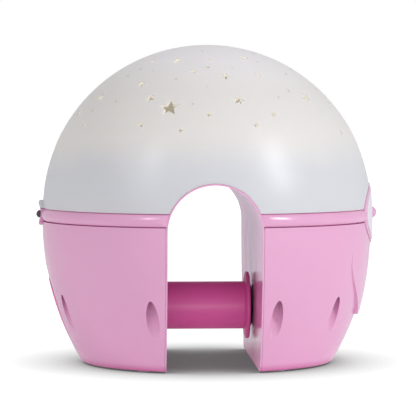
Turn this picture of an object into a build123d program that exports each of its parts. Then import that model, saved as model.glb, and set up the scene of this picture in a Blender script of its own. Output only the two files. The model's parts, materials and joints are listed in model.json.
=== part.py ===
from build123d import *
import math
import os

# A globe-shaped star night light.  A white dome pierced with stars sits on two hollow legs, and an
# arched slot between the legs lets the light straddle the rail of a cot.  A sprung clamp crosses the
# slot.  The front faces +X, the slot runs along Y, +Z is up, and the origin is on the table under the
# middle of the globe.  All sizes are in millimetres.

# ---------------------------------------------------------------- overall form
GLOBE_R = 82.0              # outside radius of the dome
DOME_DROP = 0.8             # how far the dome's centre lies below the band's top
DOME_WALL = 2.0
SHELL_PROUD = 0.2           # how far the leg shells stand out beyond the dome, at the band
FLANK_ARC_R = 136.0         # radius of the curve that the legs' flanks follow
SHELL_WALL = 2.2
BASE_Z = 0.8                # height of the shells' flat bottoms, above the rubber feet
BASE_EDGE_R = 2.2           # rounding round the flat bottoms
BAND_LOW_Z = 70.8
BAND_HEIGHT = 6.4
BAND_PROUD = 1.2            # how far the bead round the globe stands out beyond the dome

# ---------------------------------------------------------------- clearances
SEAM = 0.3                  # visible seam between two mouldings
FIT_GAP = 0.2               # hidden gap between mouldings that seat in each other
RUN_GAP = 0.05              # radial clearance of a running fit
TOUCH = 0.02                # two pieces that bear on each other

# ---------------------------------------------------------------- slot over the rail
SLOT_HALF = 22.4            # half the slot's width
ARCH_DROP = 2.4             # how far the centre of the arch lies below the band
LINER_WALL = 2.0
LIP_WIDTH = 0.8             # the liner's edge that shows beside the dome and the shells

# ---------------------------------------------------------------- frame inside the legs
DECK_DROP = 3.8             # how far the deck that carries the electronics lies below the band
DECK_T = 2.0
RING_T = 2.2                # wall of the ring that locates the dome and the shells
RING_RISE = 3.6             # how far the ring stands up inside the dome
WIRE_WINDOW_X = 16.0
WIRE_WINDOW_Y = 22.0
WIRE_WINDOW_AT = 46.0

# ---------------------------------------------------------------- screws up through the shells
CHANNEL_R = 3.2             # bore that a screwdriver goes up; it breaks out through the flank
CHANNEL_WALL = 1.5
CHANNEL_INSET = 7.8         # from the shells' outside, at the band, to the bores' axes
CHANNEL_REAR_AZ = (21.0, 67.0)
CHANNEL_FRONT_AZ = (37.5, 66.5)
SEAT_Z = 46.0               # top of the seats that the screws pull against
SEAT_T = 2.4
BOSS_R = 3.1
PILOT_R = 1.1
PILOT_DEPTH = 14.0
SCREW_R = 1.3
SCREW_HEAD_R = 2.4
SCREW_HEAD_T = 1.8
SCREW_LENGTH = 12.0
RECESS_SHARE = 0.6          # driver recess radius over the shank's radius

# ---------------------------------------------------------------- stars in the dome
STAR_POINTS = 5
STAR_WAIST = 0.42           # inner radius over outer radius
# azimuth, elevation, tip radius and turn of each star on one half of the dome
STARS = (
    (-109, 38.5, 5.4, 22), (-119.5, 42.5, 2.9, 50), (-129, 49.5, 2.7, 10), (-116.5, 64, 3.1, 34),
    (-82.5, 53.5, 2.8, 60), (-59, 67, 3.2, 15), (-78.5, 41.5, 3.0, 0), (-39.5, 43, 3.2, 40),
    (-152.5, 43, 3.0, 28), (-101, 56.5, 2.2, 5), (-61.5, 54.5, 2.2, 48), (-91, 64, 1.6, 20),
    (-119.5, 31.5, 1.9, 12), (-103, 29.5, 1.7, 55), (-92, 35.5, 1.7, 33), (-64.5, 35.5, 1.8, 8),
    (-73.5, 31.5, 1.6, 44), (-139.5, 64, 2.0, 25), (-164.5, 36, 2.4, 18), (-151, 31, 1.7, 62),
    (-19, 40, 2.4, 30), (-28, 28, 1.8, 51), (-20, 58, 2.6, 9), (-170, 58, 2.5, 41), (-104, 82.5, 2.6, 16),
)
STAR_ROUNDS = 2             # the pattern is repeated this many times round the dome
DOME_SEAM_AZ = 110.0        # where the ball's surface closes, between the stars

# ---------------------------------------------------------------- front: apron, panel, button
APRON_LOW_Z = 25.0
APRON_WIDE_DROP = 8.0       # how far the widest place lies below the apron's top
APRON_LAP = 1.0             # how far the apron's top reaches up under the panel
APRON_LOW_HALF = 20.0
APRON_WIDE_HALF = 43.5
APRON_STEP = 2.0            # how far the apron stands off the shell at its bottom edge
APRON_MID_SHARE = 0.36      # share of that step left half way up
APRON_SHOULDER_SHARE = 0.4  # how far up the apron's sides are widest
APRON_TOP_SHARE = 0.97      # width at the top over the greatest width
APRON_TUCK = 0.1            # how deep the apron's top ends under the flank
PANEL_LIFT = 0.6            # centre of the oval panel above the middle of the band
PANEL_HALF_Y = 32.5
PANEL_HALF_Z = 15.2
PANEL_RISE_LOW = 0.4        # how far the panel stands proud at its bottom
PANEL_RISE_MID = 0.3
PANEL_RISE_TOP = 0.4
PANEL_T = 1.4               # thickness of the panel; most of it is let into the shell and dome
PANEL_RIM = 3.8             # width of the panel's rim beside the plate
PANEL_RIM_LOW = 1.6         # the same above and below the plate
WINDOW_RISE = 0.35
WINDOW_SINK = 0.5
BUTTON_R = 3.1
BUTTON_PROUD = 2.5          # how far the button's crown stands out beyond the plate
BUTTON_TRAVEL = 0.8
BUTTON_FLANGE_R = 4.0
BUTTON_FLANGE_T = 1.0
BUTTON_STEM_R = 2.2
GUIDE_R = 5.0
GUIDE_DEPTH = 7.4           # from the dome's outside to the rear end of the button's guide

# ---------------------------------------------------------------- rear: mode switch
POD_LIFT = 0.9              # centre of the bezel above the middle of the band
POD_HALF_Z = 6.3
POD_HALF_Y = 11.0
POD_LIP_PROUD = 1.9         # how far the bezel's lips stand out beyond the shells
POD_WAIST = 0.8             # how far the bezel draws in between its lips
POD_LIP_SHARE = 0.7         # height of each lip over the bezel's half height
POD_EDGE = 0.4              # rounding of the lips' outer edges
KNOB_DROP = 0.7             # how far the knob lies below the bezel's centre
KNOB_HALF_Z = 1.8
KNOB_HALF_Y = 3.2
KNOB_PROUD = 1.1            # how far the knob stands out beyond the bezel's lips
KNOB_TRAVEL = 3.0           # each way from the middle position
KNOB_GAP = 0.4
KNOB_STEM_HALF = 1.2
PLATE_T = 1.4
SWITCH_X = 6.0
SWITCH_HALF_Y = 9.5
SWITCH_HALF_Z = 3.4

# ---------------------------------------------------------------- clamp across the slot
CLAMP_Z = 28.1
TUBE_R = 11.9
TUBE_WALL = 1.8
TUBE_TAIL = 3.8             # how far the tube reaches behind the slot's rear wall
FOOT_R = 16.8
FOOT_T = 3.0
FOOT_GAP = 0.3              # air between the cushion and the front wall of the slot
CUSHION_R = 10.3
CUSHION_PROUD = 0.5
CUSHION_T = 1.3
FLARE = 1.7                 # how far the foot's flared back stands out beyond the tube
PLUG_LENGTH = 5.0
ROD_R = 2.5
SLEEVE_WALL = 1.8
SLEEVE_FLANGE_EDGE = 2.9    # width of the flange outside the screws' axes
SLEEVE_FLANGE_T = 2.2
SLEEVE_POST = 5.0           # length of the posts that carry the sleeve
SLEEVE_HEAD_GAP = 1.35      # gap between the sleeve and the screws' heads
SLEEVE_SCREWS = 3
CAP_CLEAR = 2.7             # room between the cap's nose and the grip's pocket
CAP_T = 2.0
CAP_SPIGOT = 1.5
CAP_NOSE = 4.0
CAP_NOSE_R = 5.0
SPRING_R = 6.4              # mean radius of the coil
SPRING_WIRE_R = 0.55
SPRING_TURNS = 9
WIRE_SIDES = 6
GRIP_DROP = 2.0             # how far the grip's centre lies below the clamp's axis
GRIP_HALF_Z = 16.1
GRIP_HALF_Y = 13.0
GRIP_T = 3.0
ROD_BITE = 1.8              # how far the rod reaches into the grip
GRIP_GAP = 1.2              # gap round the grip at its sides
POCKET_DEPTH = 4.8
POCKET_WALL = 1.8
POCKET_RISE = 6.0           # finger room above the grip
ROD_HOLE_GAP = 0.8

# ---------------------------------------------------------------- battery compartment
CELL_R = 7.25
CELL_LENGTH = 50.5
CELL_COUNT = 3
CELL_PITCH = 15.6
CELL_LIFT = 2.0             # room for the sprung contacts under the cells
CELL_GAP = 0.35
BOX_GAP = 1.9               # gap between the battery box and the slot's wall
BOX_WALL = 1.3
CONTACT_T = 0.5
DOOR_LAP = 0.8              # how far the door reaches past the bays
DOOR_END = 3.2              # how far the door reaches past its screws
DOOR_BOSS_GAP = 0.7         # gap between the outer bays and the door's screw bosses
DOOR_BOSS_R = 2.9
DOOR_BOSS_H = 11.0
DOOR_SCREW_LENGTH = 8.0
DOOR_BOSS_ROOF = 1.5
EAR_T = 2.6                 # thickness of the ears that hang the box from the deck
CELL_NUB = 1.0
CELL_NUB_R = 2.75
CELL_EDGE = 0.6
CONTACT_HALF = 3.6
CONTACT_CONE_R = 3.2
CONTACT_TIP_R = 1.5

# ---------------------------------------------------------------- feet and speaker
PAD_R = 3.5
PAD_INSET = 6.2             # from the bottom's edge to the pads' centres
PAD_AZ = (-55.0, 0.0, 55.0)
PAD_SINK = 0.8
SPEAKER_GAP = 0.8           # gap between the loudspeaker's fence and the slot's wall
SPEAKER_R = 13.0
SPEAKER_FLANGE_T = 1.2
SPEAKER_RIM = 2.6
SPEAKER_DEPTH = 5.0
MAGNET_R = 7.0
MAGNET_T = 2.6
GRILLE_R = 1.1
GRILLE_RINGS = ((1, 0.0), (6, 4.6), (10, 8.8))      # number of holes and ring radius
CONE_CAP_SHARE = 0.4        # radius of the cone's centre over its edge
CONE_SHEET = 0.4

# ---------------------------------------------------------------- boards, lamps and reflector
BOARD_T = 1.6
MAIN_BOARD_LIFT = 3.0       # height of the posts under the main board
MAIN_BOARD_GAP = 5.0        # gap between the main board and the slot's wall
MAIN_BOARD_HALF_Y = 26.0
POST_R = 2.8
BUTTON_BOARD_HALF_Y = 9.0
BUTTON_BOARD_RISE = 8.5     # how far the small board reaches above the button's axis
RAIL_T = 2.4
TACT_HALF = 3.0
TACT_T = 3.4
TACT_PLUNGER_R = 1.75
TACT_PLUNGER = 0.7
LED_BOARD_GAP = 1.1         # air between the top of the slot's wall and the lamps' board
LED_BOARD_R = 21.0
LED_POST_AT = 13.0
LED_POST_R = 2.4
LED_R = 2.5
LED_HEIGHT = 7.0
LED_RING_R = 8.0
LED_COUNT = 4
LED_RIM = 0.4
LED_RIM_H = 1.0
CHIP_BACK = 6.0             # chip behind the middle of the board
CHIP_SIZE = (10.0, 14.0, 2.0)
CAPACITOR_AT = (9.0, 12.0)
CAPACITOR_R = 4.0
CAPACITOR_H = 9.0
TRAY_LIFT = 5.4             # height of the tray above the lamps' board
TRAY_T = 1.6
TRAY_RISE = 3.2
TRAY_HOLE_R = 24.0
TRAY_GAP = 0.6
TRAY_POST_INSET = 8.4       # from the fold of the tray's rim to the posts' axes
TRAY_POST_AZ = (42.0, 138.0, 222.0, 318.0)
TRAY_FOLD = 3.2             # width of the tray's sloping rim
SMALL_SCREW_R = 1.0
SMALL_PILOT_R = 0.8
THREAD_R = 0.75             # shank of a screw that bites in a small pilot hole
SMALL_HEAD_R = 1.9
SMALL_HEAD_T = 1.3
SMALL_SCREW_LENGTH = 6.0
BOARD_SCREW_LENGTH = 4.0
PILOT_GAP = 1.0             # pilot holes end this far beyond their screws

# ---------------------------------------------------------------- worked-out sizes
SHELL_R = GLOBE_R + SHELL_PROUD
BAND_R = GLOBE_R + BAND_PROUD
BAND_HIGH_Z = BAND_LOW_Z + BAND_HEIGHT
BAND_MIDDLE_Z = BAND_LOW_Z + BAND_HEIGHT / 2
DOME_CENTRE_Z = BAND_HIGH_Z - DOME_DROP
ARCH_Z = BAND_LOW_Z - ARCH_DROP
DECK_Z = BAND_LOW_Z - DECK_DROP
DECK_TOP = DECK_Z + DECK_T
FLOOR_Z = BASE_Z + SHELL_WALL
REACH = 2 * GLOBE_R + 20.0  # longer than anything that has to be cut through
RING_R = min(SHELL_R - SHELL_WALL, GLOBE_R - DOME_WALL) - 2 * FIT_GAP
WALL_INSET = max(SHELL_WALL, DOME_WALL) + FIT_GAP
SLOT_EDGE = SLOT_HALF + LIP_WIDTH + FIT_GAP / 2     # where the dome and the shells start
LINER_X = SLOT_HALF + LINER_WALL                    # outside of the slot's wall
CHANNEL_AT_R = SHELL_R - CHANNEL_INSET


def flank_radius(z, inset=0.0):
    """Outside radius of a leg at height z, moved inwards by inset."""
    arc_r = FLANK_ARC_R - inset
    return SHELL_R - FLANK_ARC_R + math.sqrt(arc_r**2 - (BAND_LOW_Z - z) ** 2)


def dome_radius(z, inset=0.0):
    """Outside radius of the dome at height z, moved inwards by inset."""
    return math.sqrt((GLOBE_R - inset) ** 2 - (z - DOME_CENTRE_Z) ** 2)


# panel, button and mode switch
PANEL_Z = BAND_MIDDLE_Z + PANEL_LIFT
WINDOW_HALF_Y = PANEL_HALF_Y - PANEL_RIM
WINDOW_HALF_Z = PANEL_HALF_Z - PANEL_RIM_LOW
PANEL_BACK_X = SHELL_R + PANEL_RISE_MID - PANEL_T    # back of the panel behind the button
FLANGE_FRONT = PANEL_BACK_X - 2 * FIT_GAP - SEAM     # front of the button's flange
BUTTON_REACH = SHELL_R + PANEL_RISE_MID + WINDOW_RISE + BUTTON_PROUD
BUTTON_BOARD_TOP = PANEL_Z + BUTTON_BOARD_RISE
GUIDE_BORE_R = BUTTON_STEM_R + RUN_GAP
GUIDE_REAR_X = GLOBE_R - GUIDE_DEPTH
BUTTON_BOARD_X = GUIDE_REAR_X - BUTTON_TRAVEL - FIT_GAP - TACT_PLUNGER - TACT_T      # its front face
APRON_TOP_Z = PANEL_Z - PANEL_HALF_Z + APRON_LAP
APRON_WIDE_Z = APRON_TOP_Z - APRON_WIDE_DROP
POD_Z = BAND_MIDDLE_Z + POD_LIFT
POD_LIP_R = SHELL_R + POD_LIP_PROUD
POD_NECK_R = POD_LIP_R - POD_WAIST
KNOB_Z = POD_Z - KNOB_DROP
KNOB_REACH = POD_LIP_R + KNOB_PROUD

# clamp: its travel is what the depth of the rear leg leaves
TUBE_REAR = LINER_X + TUBE_TAIL
SLEEVE_R = TUBE_R + RUN_GAP + SLEEVE_WALL
SLEEVE_SCREW_R = SLEEVE_R + SMALL_HEAD_R + SLEEVE_HEAD_GAP
SLEEVE_FLANGE_R = SLEEVE_SCREW_R + SLEEVE_FLANGE_EDGE
POCKET_BACK = POCKET_DEPTH + POCKET_WALL
SLEEVE_END = flank_radius(CLAMP_Z) - POCKET_BACK - CAP_CLEAR - CAP_NOSE - CAP_T
CLAMP_TRAVEL = SLEEVE_END - CAP_SPIGOT - SEAM - TUBE_REAR
FLARE_R = TUBE_R + FLARE
FOOT_FACE_X = SLOT_HALF - FOOT_GAP - CUSHION_PROUD
FOOT_BACK_X = FOOT_FACE_X - FOOT_T
PLUG_REAR_X = FOOT_BACK_X - PLUG_LENGTH
GRIP_Z = CLAMP_Z - GRIP_DROP

# batteries, feet, loudspeaker and boards
BAY_R = CELL_R + CELL_GAP
CELL_X = LINER_X + BOX_GAP + BOX_WALL + BAY_R
CELL_LOW_Z = FLOOR_Z + CELL_LIFT
DOOR_HALF_X = BAY_R + DOOR_LAP
DOOR_SCREW_Y = (CELL_COUNT - 1) / 2 * CELL_PITCH + BAY_R + DOOR_BOSS_GAP + DOOR_BOSS_R
DOOR_HALF_Y = DOOR_SCREW_Y + DOOR_END
PAD_RING_R = flank_radius(BASE_Z) - PAD_INSET
SPEAKER_X = -(LINER_X + SPEAKER_GAP + SHELL_WALL / 2 + FIT_GAP + SPEAKER_R)
MAIN_BOARD_Z = DECK_TOP + MAIN_BOARD_LIFT
MAIN_BOARD_X = (LINER_X + MAIN_BOARD_GAP, BUTTON_BOARD_X - BOARD_T / 2 - RAIL_T - SEAM)
LED_BOARD_Z = ARCH_Z + LINER_X + LED_BOARD_GAP
TRAY_Z = LED_BOARD_Z + TRAY_LIFT
TRAY_RIM_Z = TRAY_Z + TRAY_RISE
TRAY_RIM_R = dome_radius(TRAY_RIM_Z, DOME_WALL) - TRAY_GAP
TRAY_FOLD_R = TRAY_RIM_R - TRAY_FOLD
TRAY_POST_AT_R = TRAY_FOLD_R - TRAY_POST_INSET


# ================================================================ helpers
def leg_azimuth(sign):
    """Direction of a leg's middle: 0 for the front leg, 180 for the rear one."""
    return 180 if sign < 0 else 0


def turned(outline):
    """Solid turned round Z, closing on itself inside the slot, clear of every cut."""
    return Rot(0, 0, 90) * revolve(make_face(outline), Axis.Z)


def envelope(inset):
    """The whole globe, legs and dome in one turned solid, moved inwards by inset."""
    low = BASE_Z + inset
    mid = (low + BAND_LOW_Z) / 2
    top = DOME_CENTRE_Z + GLOBE_R - inset
    shoulder = (GLOBE_R - inset) * math.sqrt(0.5)
    foot = (flank_radius(low, inset), 0, low)
    belt = (SHELL_R - inset, 0, BAND_LOW_Z)
    equator = (GLOBE_R - inset, 0, DOME_CENTRE_Z)
    outline = [
        Line((0, 0, low), foot),
        ThreePointArc(foot, (flank_radius(mid, inset), 0, mid), belt),
        Line(belt, equator),
        ThreePointArc(equator, (shoulder, 0, DOME_CENTRE_Z + shoulder), (0, 0, top)),
        Line((0, 0, top), (0, 0, low)),
    ]
    return turned(outline)


def outer_envelope():
    """The envelope with its bottom edge rounded."""
    body = envelope(0.0)
    return fillet(body.edges().group_by(Axis.Z)[0], BASE_EDGE_R)


def tunnel(half_width):
    """The slot's space: two parallel sides under a round arch, right through along Y."""
    arch = Pos(0, 0, ARCH_Z) * Rot(90, 0, 0) * Cylinder(half_width, REACH)
    below = Pos(0, 0, ARCH_Z / 2 - BASE_EDGE_R) * Box(2 * half_width, REACH, ARCH_Z + 2 * BASE_EDGE_R)
    return arch + below


def side_of(body, sign, edge):
    """The part of body beyond x = edge on one side of the slot."""
    block = Pos(sign * (edge + REACH / 2), 0, DOME_CENTRE_Z) * Box(REACH, REACH, 2 * REACH)
    return body & block


def slab(low, high):
    return Pos(0, 0, (low + high) / 2) * Box(REACH, REACH, high - low)


def rod_x(radius, x_from, x_to, y=0.0, z=0.0):
    """A round bar along X."""
    middle = (x_from + x_to) / 2
    return Pos(middle, y, z) * Rot(0, 90, 0) * Cylinder(radius, abs(x_to - x_from))


def rod_z(radius, z_from, z_to, x=0.0, y=0.0):
    """A round bar along Z."""
    return Pos(x, y, (z_from + z_to) / 2) * Cylinder(radius, abs(z_to - z_from))


def oval_x(half_y, half_z, z, x_from, x_to):
    """An oval bar along X, centred at height z."""
    face = Plane(origin=(x_from, 0, z), x_dir=(0, 1, 0), z_dir=(1, 0, 0)) * Ellipse(half_y, half_z)
    return extrude(face, amount=x_to - x_from)


def ring_points(radius, azimuths):
    return [(radius * math.cos(math.radians(a)), radius * math.sin(math.radians(a))) for a in azimuths]


def screw_up(x, y, head_z, radius, head_r, head_t, length):
    """A pan-head screw pointing up, with its head's lower face at head_z."""
    head = rod_z(head_r, head_z, head_z + head_t, x, y)
    head -= rod_z(radius * RECESS_SHARE, head_z, head_z + head_t / 2, x, y)
    return head + rod_z(radius, head_z + head_t, head_z + head_t + length, x, y)


def screw_down(x, y, seat_z, radius, head_r, head_t, length):
    """A pan-head screw pointing down, with its head sitting on seat_z."""
    head = rod_z(head_r, seat_z, seat_z + head_t, x, y)
    head -= rod_z(radius * RECESS_SHARE, seat_z + head_t / 2, seat_z + head_t, x, y)
    return head + rod_z(radius, seat_z - length, seat_z, x, y)


def group(solids):
    """Several separate solids that share one node."""
    return Compound(children=[s for piece in solids for s in piece.solids()])


# ================================================================ shared cutters
def panel_surface(rise):
    """Turned solid whose flank is the panel's outer face, moved outwards by rise."""
    low = PANEL_Z - PANEL_HALF_Z - 2 * FIT_GAP
    high = PANEL_Z + PANEL_HALF_Z + 2 * FIT_GAP
    low_point = (flank_radius(low) + PANEL_RISE_LOW + rise, 0, low)
    mid_point = (SHELL_R + PANEL_RISE_MID + rise, 0, PANEL_Z)
    high_point = (dome_radius(high) + PANEL_RISE_TOP + rise, 0, high)
    outline = [
        Line((0, 0, low), low_point),
        ThreePointArc(low_point, mid_point, high_point),
        Line(high_point, (0, 0, high)),
        Line((0, 0, high), (0, 0, low)),
    ]
    return turned(outline)


def panel_seat():
    """The shallow recess that the panel sits in."""
    prism = oval_x(PANEL_HALF_Y + FIT_GAP, PANEL_HALF_Z + FIT_GAP, PANEL_Z, SLOT_HALF, REACH / 2)
    return prism - panel_surface(-PANEL_T - FIT_GAP / 2)


def guide_opening():
    """Clearance for the button's guide where it passes the dome's edge."""
    return rod_x(GUIDE_R + FIT_GAP, GUIDE_REAR_X - DOME_WALL, BUTTON_REACH, 0, PANEL_Z)


def pod_blank():
    """The oval bezel round the mode switch, waisted between two lips."""
    low = POD_Z - POD_HALF_Z - POD_EDGE
    high = POD_Z + POD_HALF_Z + POD_EDGE
    inner = SHELL_R - SHELL_WALL / 2
    corner_r = POD_LIP_R - POD_EDGE
    low_root = (flank_radius(low) - POD_EDGE, 0, low)
    low_lip = (POD_LIP_R, 0, POD_Z - POD_LIP_SHARE * POD_HALF_Z)
    high_lip = (POD_LIP_R, 0, POD_Z + POD_LIP_SHARE * POD_HALF_Z)
    high_root = (dome_radius(high) - POD_EDGE, 0, high)
    outline = [
        Line((inner, 0, low), low_root),
        ThreePointArc(low_root, (corner_r, 0, low + 1.5 * POD_EDGE), low_lip),
        ThreePointArc(low_lip, (POD_NECK_R, 0, POD_Z), high_lip),
        ThreePointArc(high_lip, (corner_r, 0, high - 1.5 * POD_EDGE), high_root),
        Line(high_root, (inner, 0, high)),
        Line((inner, 0, high), (inner, 0, low)),
    ]
    return turned(outline) & oval_x(POD_HALF_Y, POD_HALF_Z, POD_Z, -REACH / 2, -SLOT_HALF)


def knob_opening():
    """The slot in the bezel that the mode knob slides in."""
    reach_y = KNOB_HALF_Y + KNOB_TRAVEL + KNOB_GAP
    inner = RING_R - 3 * RING_T
    box = Box(REACH / 2 - inner, 2 * reach_y, 2 * (KNOB_HALF_Z + KNOB_GAP))
    return Pos(-(inner + REACH / 2) / 2, 0, KNOB_Z) * box


def grip_prism(gap, rise):
    """Oval bar along X for the grip, with a gap all round and extra room on top."""
    half_z = GRIP_HALF_Z + gap + rise / 2
    return oval_x(GRIP_HALF_Y + gap, half_z, GRIP_Z + rise / 2, -REACH / 2, -SLOT_HALF)


# ================================================================ frame
def liner():
    """Wall of the slot, with a narrow lip that shows at the surface."""
    wall = (tunnel(SLOT_HALF + LINER_WALL) - tunnel(SLOT_HALF)) & envelope(WALL_INSET)
    lip = (tunnel(SLOT_HALF + LIP_WIDTH) - tunnel(SLOT_HALF)) & outer_envelope()
    return wall + lip


def band():
    """The rounded bead between dome and shells, tapering off into the slot's lip."""
    inner = RING_R - RING_T / 2
    edge = GLOBE_R - 2 * SEAM
    outline = [
        Line((inner, 0, BAND_LOW_Z), (edge, 0, BAND_LOW_Z)),
        ThreePointArc((edge, 0, BAND_LOW_Z), (BAND_R, 0, BAND_MIDDLE_Z), (edge, 0, BAND_HIGH_Z)),
        Line((edge, 0, BAND_HIGH_Z), (inner, 0, BAND_HIGH_Z)),
        Line((inner, 0, BAND_HIGH_Z), (inner, 0, BAND_LOW_Z)),
    ]
    taper = 2 * math.sqrt(SHELL_R**2 - (SLOT_HALF + LIP_WIDTH) ** 2)
    bead = turned(outline) - tunnel(SLOT_HALF)
    return bead & (Pos(0, 0, DOME_CENTRE_Z) * Box(REACH, taper, REACH))


def saddle_frame():
    """The moulding that holds everything: liner, band, deck, bosses and posts."""
    ring = rod_z(RING_R, DECK_Z, BAND_HIGH_Z + RING_RISE) - rod_z(RING_R - RING_T, 0, REACH)
    deck = rod_z(RING_R - RING_T / 2, DECK_Z, DECK_TOP)
    for sign in (-1, 1):
        deck -= Pos(sign * WIRE_WINDOW_AT, 0, DECK_Z) * Box(WIRE_WINDOW_X, WIRE_WINDOW_Y, 4 * DECK_T)
    hollow = tunnel(SLOT_HALF + LINER_WALL / 2)
    frame = liner() + band() + (ring - hollow) + (deck - hollow)
    for x, y in channel_points():
        frame += rod_z(BOSS_R, SEAT_Z + FIT_GAP, DECK_Z + DECK_T / 2, x, y)
        frame -= rod_z(PILOT_R, SEAT_Z + FIT_GAP, SEAT_Z + PILOT_DEPTH, x, y)
    for x, y in ring_points(TRAY_POST_AT_R, TRAY_POST_AZ):
        frame += rod_z(POST_R, DECK_TOP - TOUCH, TRAY_Z - TOUCH, x, y)
        frame -= rod_z(SMALL_PILOT_R, TRAY_Z - SMALL_SCREW_LENGTH, TRAY_Z, x, y)
    for x, y in main_board_corners():
        frame += rod_z(POST_R, DECK_TOP - TOUCH, MAIN_BOARD_Z - TOUCH, x, y)
        frame -= rod_z(SMALL_PILOT_R, DECK_TOP, MAIN_BOARD_Z, x, y)
    for x, y in led_post_points():
        frame += rod_z(LED_POST_R, ARCH_Z, LED_BOARD_Z - TOUCH, x, y) - tunnel(SLOT_HALF + LINER_WALL / 2)
        frame -= rod_z(SMALL_PILOT_R, LED_BOARD_Z - BOARD_SCREW_LENGTH, LED_BOARD_Z, x, y)
    for y, z in sleeve_screw_points():
        frame += rod_x(BOSS_R, LINER_WALL / 2 - LINER_X, -LINER_X - SLEEVE_POST, y, z)
        frame -= rod_x(PILOT_R, -LINER_X, -LINER_X - SLEEVE_POST, y, z)
    frame -= rod_x(TUBE_R + SEAM, -LINER_X - LINER_WALL, -SLOT_HALF / 2, 0, CLAMP_Z)
    for x, y in box_ear_points():
        frame -= rod_z(SMALL_SCREW_R + FIT_GAP, DECK_Z - DECK_T, DECK_TOP + DECK_T, x, y)
    for x, y in switch_screw_points():
        frame -= rod_z(SMALL_PILOT_R, DECK_Z, DECK_TOP + DECK_T, x, y)
    frame = add_button_guide(frame)
    frame = add_switch_bezel(frame)
    return frame


def channel_points():
    rear = [180 + s * a for a in CHANNEL_REAR_AZ for s in (-1, 1)]
    front = [s * a for a in CHANNEL_FRONT_AZ for s in (-1, 1)]
    return ring_points(CHANNEL_AT_R, rear + front)


def main_board_corners():
    inset = 2 * POST_R
    xs = (MAIN_BOARD_X[0] + inset, MAIN_BOARD_X[1] - inset)
    ys = (-MAIN_BOARD_HALF_Y + inset, MAIN_BOARD_HALF_Y - inset)
    return [(x, y) for x in xs for y in ys]


def led_post_points():
    return [(sx * LED_POST_AT, sy * LED_POST_AT) for sx in (-1, 1) for sy in (-1, 1)]


def sleeve_screw_points():
    turns = [90 + 360 * i / SLEEVE_SCREWS for i in range(SLEEVE_SCREWS)]
    return [(y, CLAMP_Z + z) for y, z in ring_points(SLEEVE_SCREW_R, turns)]


def add_button_guide(frame):
    """Guide for the button's stem, and two rails that hold the small board behind it."""
    frame -= panel_seat()
    guide = rod_x(GUIDE_R, GUIDE_REAR_X, FLANGE_FRONT, 0, PANEL_Z)
    frame += guide & panel_surface(-PANEL_T - FIT_GAP)
    flange_room = FLANGE_FRONT - BUTTON_FLANGE_T - BUTTON_TRAVEL - 2 * FIT_GAP
    frame -= rod_x(BUTTON_FLANGE_R + FIT_GAP, flange_room, BUTTON_REACH, 0, PANEL_Z)
    frame -= rod_x(GUIDE_BORE_R, GUIDE_REAR_X - DOME_WALL, BUTTON_REACH, 0, PANEL_Z)
    board_x = BUTTON_BOARD_X - BOARD_T / 2
    middle_z = (DECK_TOP + BUTTON_BOARD_TOP) / 2 - TOUCH
    for sign in (-1, 1):
        rail = Box(2 * RAIL_T, RAIL_T, BUTTON_BOARD_TOP - DECK_TOP)
        frame += Pos(board_x, sign * (BUTTON_BOARD_HALF_Y + RAIL_T / 4), middle_z) * rail
    slot = Box(BOARD_T + FIT_GAP, 2 * BUTTON_BOARD_HALF_Y + FIT_GAP, REACH / 2)
    return frame - Pos(board_x, 0, DECK_TOP + REACH / 4) * slot


def add_switch_bezel(frame):
    """The pink lower part of the bezel, and the window for the mode switch."""
    frame += pod_blank() & slab(0, BAND_HIGH_Z)
    frame -= knob_opening()
    return frame


# ================================================================ shells
def leg_shell(sign, channel_azimuths):
    """One leg: a hollow cup with screw channels that break out through its flank."""
    centre = leg_azimuth(sign)
    channels = ring_points(CHANNEL_AT_R, [centre + s * a for a in channel_azimuths for s in (-1, 1)])
    hollow = envelope(SHELL_WALL)
    for x, y in channels:
        hollow -= rod_z(CHANNEL_R + CHANNEL_WALL, 0, SEAT_Z, x, y)
    outer = outer_envelope() & slab(0, BAND_LOW_Z - SEAM)
    shell = side_of(outer - hollow, sign, SLOT_EDGE)
    for x, y in channels:
        shell -= rod_z(CHANNEL_R, 0, SEAT_Z - SEAT_T, x, y)
        shell -= rod_z(SCREW_R + FIT_GAP, 0, SEAT_Z + SEAT_T, x, y)
    for x, y in ring_points(PAD_RING_R, [centre + a for a in PAD_AZ]):
        shell -= rod_z(PAD_R + FIT_GAP / 2, 0, BASE_Z + PAD_SINK, x, y)
    return shell


def rear_leg_shell():
    """Rear leg, with a pocket for the pull grip and a grille under the loudspeaker."""
    shell = leg_shell(-1, CHANNEL_REAR_AZ)
    prism = grip_prism(GRIP_GAP, POCKET_RISE)
    edge = flank_radius(BASE_Z + POCKET_BACK, POCKET_BACK) - POCKET_WALL
    lining = grip_prism(GRIP_GAP + POCKET_WALL, POCKET_RISE) & envelope(SHELL_WALL / 2)
    lining -= envelope(POCKET_BACK)
    shell += side_of(lining, -1, edge)
    shell -= side_of(prism - envelope(POCKET_DEPTH), -1, edge)
    shell -= rod_x(ROD_R + ROD_HOLE_GAP, -SHELL_R, -SLEEVE_END, 0, CLAMP_Z)
    shell -= pod_blank()
    shell += speaker_fence()
    for x, y in speaker_screw_points():
        shell -= rod_z(SMALL_PILOT_R, FLOOR_Z - SHELL_WALL / 2, FLOOR_Z + SPEAKER_FLANGE_T, x, y)
    for count, radius in GRILLE_RINGS:
        for x, y in ring_points(radius, [360 * i / count for i in range(count)]):
            shell -= rod_z(GRILLE_R, 0, FLOOR_Z + SPEAKER_FLANGE_T, SPEAKER_X + x, y)
    return shell


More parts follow.
